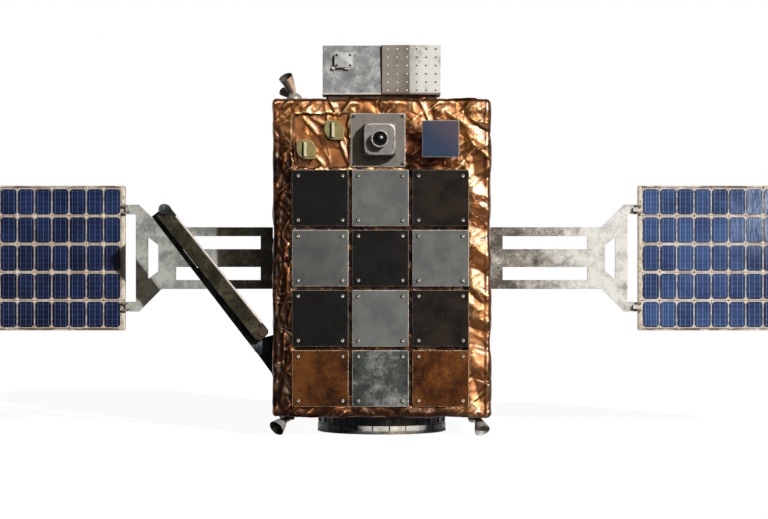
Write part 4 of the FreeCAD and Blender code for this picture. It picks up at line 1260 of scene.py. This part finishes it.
def makeCover():   # a thick screwed cover with cut corners on a thin flange, and two tabs
    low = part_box("top_box_plain")[0]
    x0, z0 = (low.x + topBoxes["coverLow"][0], low.z + topBoxes["coverLow"][1])
    x1, z1 = (low.x + topBoxes["coverHigh"][0], low.z + topBoxes["coverHigh"][1])
    front = low.y - topBoxes["coverThick"]
    flange = topBoxes["flange"]
    raised = cube((x0, front, z0), (x1, low.y, z1))
    openEdit(raised, lambda c, d: abs(d.y) > 0.9, "EDGE")
    bpy.ops.mesh.bevel(offset=topBoxes["coverCorner"], segments=1)
    closeEdit()
    breakEdges(raised, 0.0009, 40)
    thin = block((x0 - flange, low.y - 0.0010, z0 - flange), (x1 + flange, low.y, z1 + flange))
    piece = joined([raised, thin], "topBoxCover")
    smooth(piece)
    place(piece, "coverSteel")
    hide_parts("top_box_cover")
    cornerScrews("cover", [(Vector((x0, front, z0)), Vector((x1, front, z1)))], "boltDark")
    tabLow, tabHigh = z0 - topBoxes["tab"] * 0.6, z0 + topBoxes["tab"] * 0.4
    tabs = [block((x0 + a, front + 0.002, tabLow), (x0 + b, low.y, tabHigh), 0.0012)
            for a, b in topBoxes["tabs"]]
    place(joined(tabs, "coverTabs"), "coverTab")
    # painted shade along the cover's left side
    coverShadow = block((x0 - topBoxes["gap"], low.y - 0.0018, z0 + 0.007), (x0 + 0.0004, low.y, z1 - 0.008))
    place(coverShadow, "slotBlack").name = "coverShadowStrip"


def makeUnderBoxes():   # painted shade under the boxes and between them, the plain box's lip, the foil boots
    low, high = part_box("top_box_plain")
    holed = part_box("top_box_perforated")[0]
    left, right = topBoxes["plinth"]
    inset, behind = topBoxes["underShadeInset"], topBoxes["gapShadeBehind"]
    # painted shade: a dark block filling the gap under the boxes
    plinth = block((left, low.y + inset, bodyHigh - 0.001),
                   (right, high.y - inset, low.z + 0.0005), 0.002, 3)
    place(plinth, "plinthDark").name = "topBoxUnderShade"
    lip = block((low.x - 0.0003, low.y - 0.0012, low.z),
                (high.x, low.y + 0.001, low.z + topBoxes["lip"]), 0.0004)
    place(lip, "lipCream").name = "topBoxLip"
    # painted shade: a black sheet filling the gap between the boxes
    gapShade = block((high.x - 0.0005, low.y + behind, low.z), (holed.x + 0.0005, high.y - inset, high.z))
    place(gapShade, "slotBlack").name = "topBoxGapShade"
    boots = []
    for number, (across, half, tall) in enumerate(topBoxes["boots"]):
        boot = ball(40, 24, 1.0)
        co = pointsOf(boot.data)
        swell = 0.82 + crumple(co[:, 0] * 0.3, co[:, 2] * 0.3 + co[:, 1] * 0.1, 0.09, 81 + number) * 0.3
        points = co * swell[:, None] * np.array((half, topBoxes["bootDeep"], tall))
        setPoints(boot, points + np.array((across, low.y + 0.004, bodyHigh)))
        cutAway(boot, lambda c, n: c.z < bodyHigh - 0.001)
        boots.append(boot)
    boots = joined(boots, "foilBoots")
    smooth(boots, 40)
    place(boots, "foilCopper")


def makeTopBoxes():
    dress("top_box_plain", "galvanised", 0.0009, edge="edgeBright")
    dress("top_box_perforated", "perforatedSteel", 0.0, crease=6.0)
    dress("top_box_feet", "mountDark")
    makeCover()
    makeUnderBoxes()
    holes = perforations()
    left = [at for at, column in holes if column < 3]
    right = [at for at, column in holes if column > 2]
    # painted light: the dimples left of the ridge pale as if lit, those right of it dark as if shaded
    scatter("dimplesLit", dimple(*perforation["lit"]), left, "dimpleLit")
    scatter("dimplesShaded", dimple(*perforation["dark"]), right, "holeDark")


def makeThrusters():
    dress("thruster_dome", "nozzleSteel", 0.0)
    for nodeName, look in (("thruster_top_bells", "bellTop"), ("thruster_bells", "nozzleSteel")):
        bells = dress(nodeName, look, 0.0)
        bells.data.materials.append(finishes["bellInside"])
        markInside(bells, 1)
    dress("thruster_mounts", "mountDark", 0.0)


ring = {
    "wall": 0.1565,       # radius of the wall that the ribs stand on
    "ribs": 24,
    "ribWide": 0.024,
    "ribDeep": 0.003,
    "ribLow": 0.0235,
    "ribHigh": 0.045,
    "ribFrame": 0.0026,   # round the sunk middle of a rib
    "ribSunk": 0.0008,
}


def makeRing():
    dress("separation_ring", "ringBlack", 0.0006)
    dress("clamp_shoes", "shoeSilver", 0.0005)
    size = Vector((ring["ribWide"], ring["ribDeep"] * 2, ring["ribHigh"] - ring["ribLow"]))
    rib = cube(-size / 2, size / 2)
    openEdit(rib, lambda c, n: n.y < -0.9)
    bpy.ops.mesh.inset(thickness=ring["ribFrame"], depth=-ring["ribSunk"])
    closeEdit()
    breakEdges(rib, 0.0006, 40)
    outwards = Matrix.Translation((0, -ring["wall"], (ring["ribLow"] + ring["ribHigh"]) / 2))
    ribs = [copied(rib, Matrix.Rotation(turn, 4, "Z") @ outwards) for turn in turns(ring["ribs"])]
    piece = joined(ribs, "ringRibs")
    smooth(piece)
    place(piece, "ringBlack")
    discard(rib)


tape = {
    "width": 0.0088,
    "short": 0.004,       # shorter than the panel by this
    "inset": 0.0012,      # from the panel's inner edge
    "proud": 0.0014,
    "clear": 0.004,       # kept free beside a hinge lug
    "wrinkle": 0.0008,
    "wander": 0.0016,
}


def makeTape(side):   # a creased strip of tape along the panel's inner edge
    low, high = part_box("panel_" + side)
    sign = 1 if side == "right" else -1
    inner = low.x if side == "right" else high.x
    middle = inner + sign * (tape["inset"] + tape["width"] / 2)
    piece = grid(6, 130, "panelTape" + side.title())
    co = pointsOf(piece.data)
    across = co[:, 0] * tape["width"]
    up = co[:, 1] * (high.z - low.z - tape["short"])
    wrinkles = crumple(across * 1.6, up, 0.009, 71 if sign > 0 else 72)
    wander = (soft(up, across * 0, 0.09, 5 + sign) - 0.5) * tape["wander"]
    depth = np.where(np.abs(co[:, 0]) > 0.49, 0.0003, tape["proud"] * 0.5 + wrinkles * tape["wrinkle"])
    setPoints(piece, np.stack((middle + across + wander, low.y - depth, (low.z + high.z) / 2 + up), axis=1))
    outward(piece)
    lugs = islands("hinge_lugs_" + side)   # the tape stops short of where they fold to
    cutAway(piece, lambda c, n: any(b[0].z - tape["clear"] < c.z < b[1].z + tape["clear"] for b in lugs))
    modify(piece, "SOLIDIFY", thickness=0.0002, offset=0.0)
    smooth(piece, 50)
    place(piece, "tapeCream", side + "_panel")


wing = {
    "flangeBolts": 8,
    "boltCircle": 0.0498,
    "bolt": (0.0028, 0.0014),   # radius and height of a head
    "stripTall": 0.007,   # cable strips on the panel's back
    "stripThick": 0.0008,
    "stripSunk": 0.0004,
    "stripInset": 0.012,
}


def makeWingDetails(side):   # bolts round the drive, flat cable strips on the panel's back
    isRight = side == "right"
    low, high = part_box("drive_housing_" + side)
    face = high.x if isRight else low.x
    reach = wing["boltCircle"]
    places = [(face, math.cos(turn) * reach, bodyMid + math.sin(turn) * reach)
              for turn in turns(wing["flangeBolts"])]
    scatter("driveBolts" + side.title(), domeScrew(*wing["bolt"]), places, "boltSteel",
            (1 if isRight else -1, 0, 0))
    low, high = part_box("panel_" + side)
    inset, tall = wing["stripInset"], wing["stripTall"]
    front, back = high.y - wing["stripSunk"], high.y + wing["stripThick"]
    strips = [block((low.x + inset, front, z - tall / 2), (high.x - inset, back, z + tall / 2), 0.0003)
              for z in (low.z * 0.75 + high.z * 0.25, low.z * 0.25 + high.z * 0.75)]
    x = low.x + inset if isRight else high.x - inset - tall
    strips.append(block((x, front, low.z + inset), (x + tall, back, high.z - inset), 0.0003))
    place(joined(strips, "panelCables" + side.title()), "tapeCream", side + "_panel")


def makeWing(side):
    hub, yoke, panel = side + "_hub", side + "_yoke", side + "_panel"
    dress("drive_housing_" + side, "structureMetal", 0.0006)
    dress("drive_hub_" + side, "structureMetal", 0.0005, body=hub)
    dress("yoke_" + side, "yokeMetal", 0.0006, body=yoke)
    dress("hinge_lugs_" + side, "yokeMetal", 0.0004, body=yoke)
    dress("hinge_knuckles_" + side, "hingeBrown", 0.0004, body=panel)
    dress("panel_" + side, "panel_" + side, 0.0012, body=panel)
    dress("cells_" + side, "cells_" + side, 0.0003, 1, body=panel)
    makeTape(side)
    makeWingDetails(side)


boom = {
    "edge": 0.0038,       # the painted highlight along the upper bar
    "proud": 0.0004,
    "stripStart": 0.018,
    "stripEnd": 0.030,
    "stripDeep": 0.0125,
    "endRound": 0.011,    # the bar's rounded lower corners
    "endReach": 0.012,    # they lie this near the end cap's middle
}


def makeBoom():
    dress("boom_shoulder", "boomDark", 0.0010)
    dress("boom_lower_arm", "boomDark", 0.0014, body="boom_lower")
    dress("boom_elbow_cap", "boomDark", 0.0016, 3, body="boom_lower")
    dress("boom_end_cap", "boomCap", 0.0008, body="boom_upper")
    arm = dress("boom_upper_arm", "boomOlive", 0.0, body="boom_upper")
    foot, elbow = ((low + high) / 2 for low, high in (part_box("boom_end_cap"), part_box("boom_elbow_cap")))
    along = (elbow - foot).normalized()
    along.y = 0
    side = Vector((-along.z, 0, along.x))
    if side.x < 0:
        side = -side
    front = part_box("boom_upper_arm")[0].y
    openEdit(arm, lambda c, d: abs(d.y) > 0.9 and (c - foot).dot(along) < boom["endReach"], "EDGE")
    bpy.ops.mesh.bevel(offset=boom["endRound"], segments=5)
    closeEdit()
    breakEdges(arm, 0.0008, 40)
    shade(arm)
    # a painted highlight: a pale strip along its upper edge, which faces the light
    half = max((v.co - foot).dot(side) for v in arm.data.vertices)
    end = (elbow - foot).length - boom["stripEnd"]
    strip = block((boom["stripStart"], half - boom["edge"], 0.0),
                  (end, half + boom["proud"], boom["stripDeep"]), 0.0011, 3)
    turn = Matrix((along, side, (0, 1, 0))).transposed().to_4x4()
    strip.data.transform(Matrix.Translation((foot.x, front - boom["proud"], foot.z)) @ turn)
    outward(strip)
    strip.name = "boomHighlightStrip"
    place(strip, "boomEdge", "boom_upper")


makePlates()
makeCamera()
makeMirror()
makeKnobs()
makeTopBoxes()
makeThrusters()
makeRing()
for side in ("left", "right"):
    makeWing(side)
makeBoom()
dress("rear_radiator", "radiatorWhite", 0.0009)
for nodeName in ("bus_walls", "bus_deck_top", "bus_deck_bottom"):
    painted(nodes[nodeName], "structureMetal")
print("pieces dressed")


studio = {
    "camera": (0.0059, -5.9515, 0.4279),
    "lens": 111.1,
    "sensor": 36.0,
    "keyFrom": (0.615, -1.0, 0.526),   # from the object towards the key lamp
    "keyStrength": 3.6,
    "keyAngle": 1.2,
    "fill": 0.016,        # on matt surfaces
    # what metal mirrors: the room, more of it above, the key lamp's glow and its middle
    "room": 0.035,
    "above": 0.1,
    "glow": 0.13,
    "lamp": 4.8,
    "floorSize": 80.0,
    "floorLight": 0.95,
    "floorMirrored": 0.07,   # of that light, in front of the object
    "floorMatt": 0.13,
}


def makeStage():
    clearPick()
    bpy.ops.mesh.primitive_plane_add(size=studio["floorSize"], location=(0, 0, 0))
    floor = bpy.context.object
    floor.name = "studioFloor"
    s = newSheet("studioFloor")
    behind = s.between(s.axes()[1], -0.6, 0.6, studio["floorMirrored"], 1.0)
    seen = s.ray("Camera") + s.ray("Transmission") + s.ray("Glossy") * behind
    glow = s.node("ShaderNodeEmission", {}, {"Color": (1, 1, 1, 1), "Strength": seen * studio["floorLight"]})
    matt = s.node("ShaderNodeBsdfDiffuse", {}, {"Color": (studio["floorMatt"],) * 3 + (1,)})
    both = s.node("ShaderNodeAddShader", {}, {0: glow, 1: matt})
    s.node("ShaderNodeOutputMaterial", {}, {"Surface": both})
    floor.data.materials.append(s.owner)


def makeLights():
    data = bpy.data.lights.new("key", "SUN")
    data.energy = studio["keyStrength"]
    data.angle = math.radians(studio["keyAngle"])
    lamp = bpy.data.objects.new("key", data)
    lamp.rotation_euler = Vector(studio["keyFrom"]).to_track_quat("Z", "Y").to_euler()
    bpy.context.scene.collection.objects.link(lamp)
    s = Sheet(bpy.data.worlds.new("studioRoom"))
    bpy.context.scene.world = s.owner
    x, y, z = s.axes(s.node("ShaderNodeTexCoord", output="Generated"))
    key = Vector(studio["keyFrom"]).normalized()
    toKey = x * key.x + y * key.y + z * key.z
    room = studio["room"] + s.between(z, -0.3, 1.0) * studio["above"]
    room = room + s.between(toKey, 0.3, 0.9) * studio["glow"] + s.between(toKey, 0.78, 0.99) * studio["lamp"]
    behind = s.between(y, 0.3, 0.75)
    room = room * (1 - behind) + behind
    camera, glossy, through = s.ray("Camera"), s.ray("Glossy"), s.ray("Transmission")
    matt = (1 - camera) * (1 - glossy) * (1 - through)
    level = camera + through + glossy * room + matt * studio["fill"]
    warm = s.blend(glossy * s.between(toKey, 0.5, 0.95), rgb(255, 255, 255), rgb(255, 238, 204))
    back = s.node("ShaderNodeBackground", {}, {"Color": warm, "Strength": level})
    s.node("ShaderNodeOutputWorld", {}, {"Surface": back})


def makeCameraView():
    data = bpy.data.cameras.new("view")
    data.lens = studio["lens"]
    data.sensor_width = studio["sensor"]
    view = bpy.data.objects.new("view", data)
    view.location = studio["camera"]
    view.rotation_euler = (math.radians(90), 0, 0)
    bpy.context.scene.collection.objects.link(view)
    bpy.context.scene.camera = view


makeStage()
makeLights()
makeCameraView()
bpy.context.scene.view_settings.view_transform = "Standard"
print("stage set")
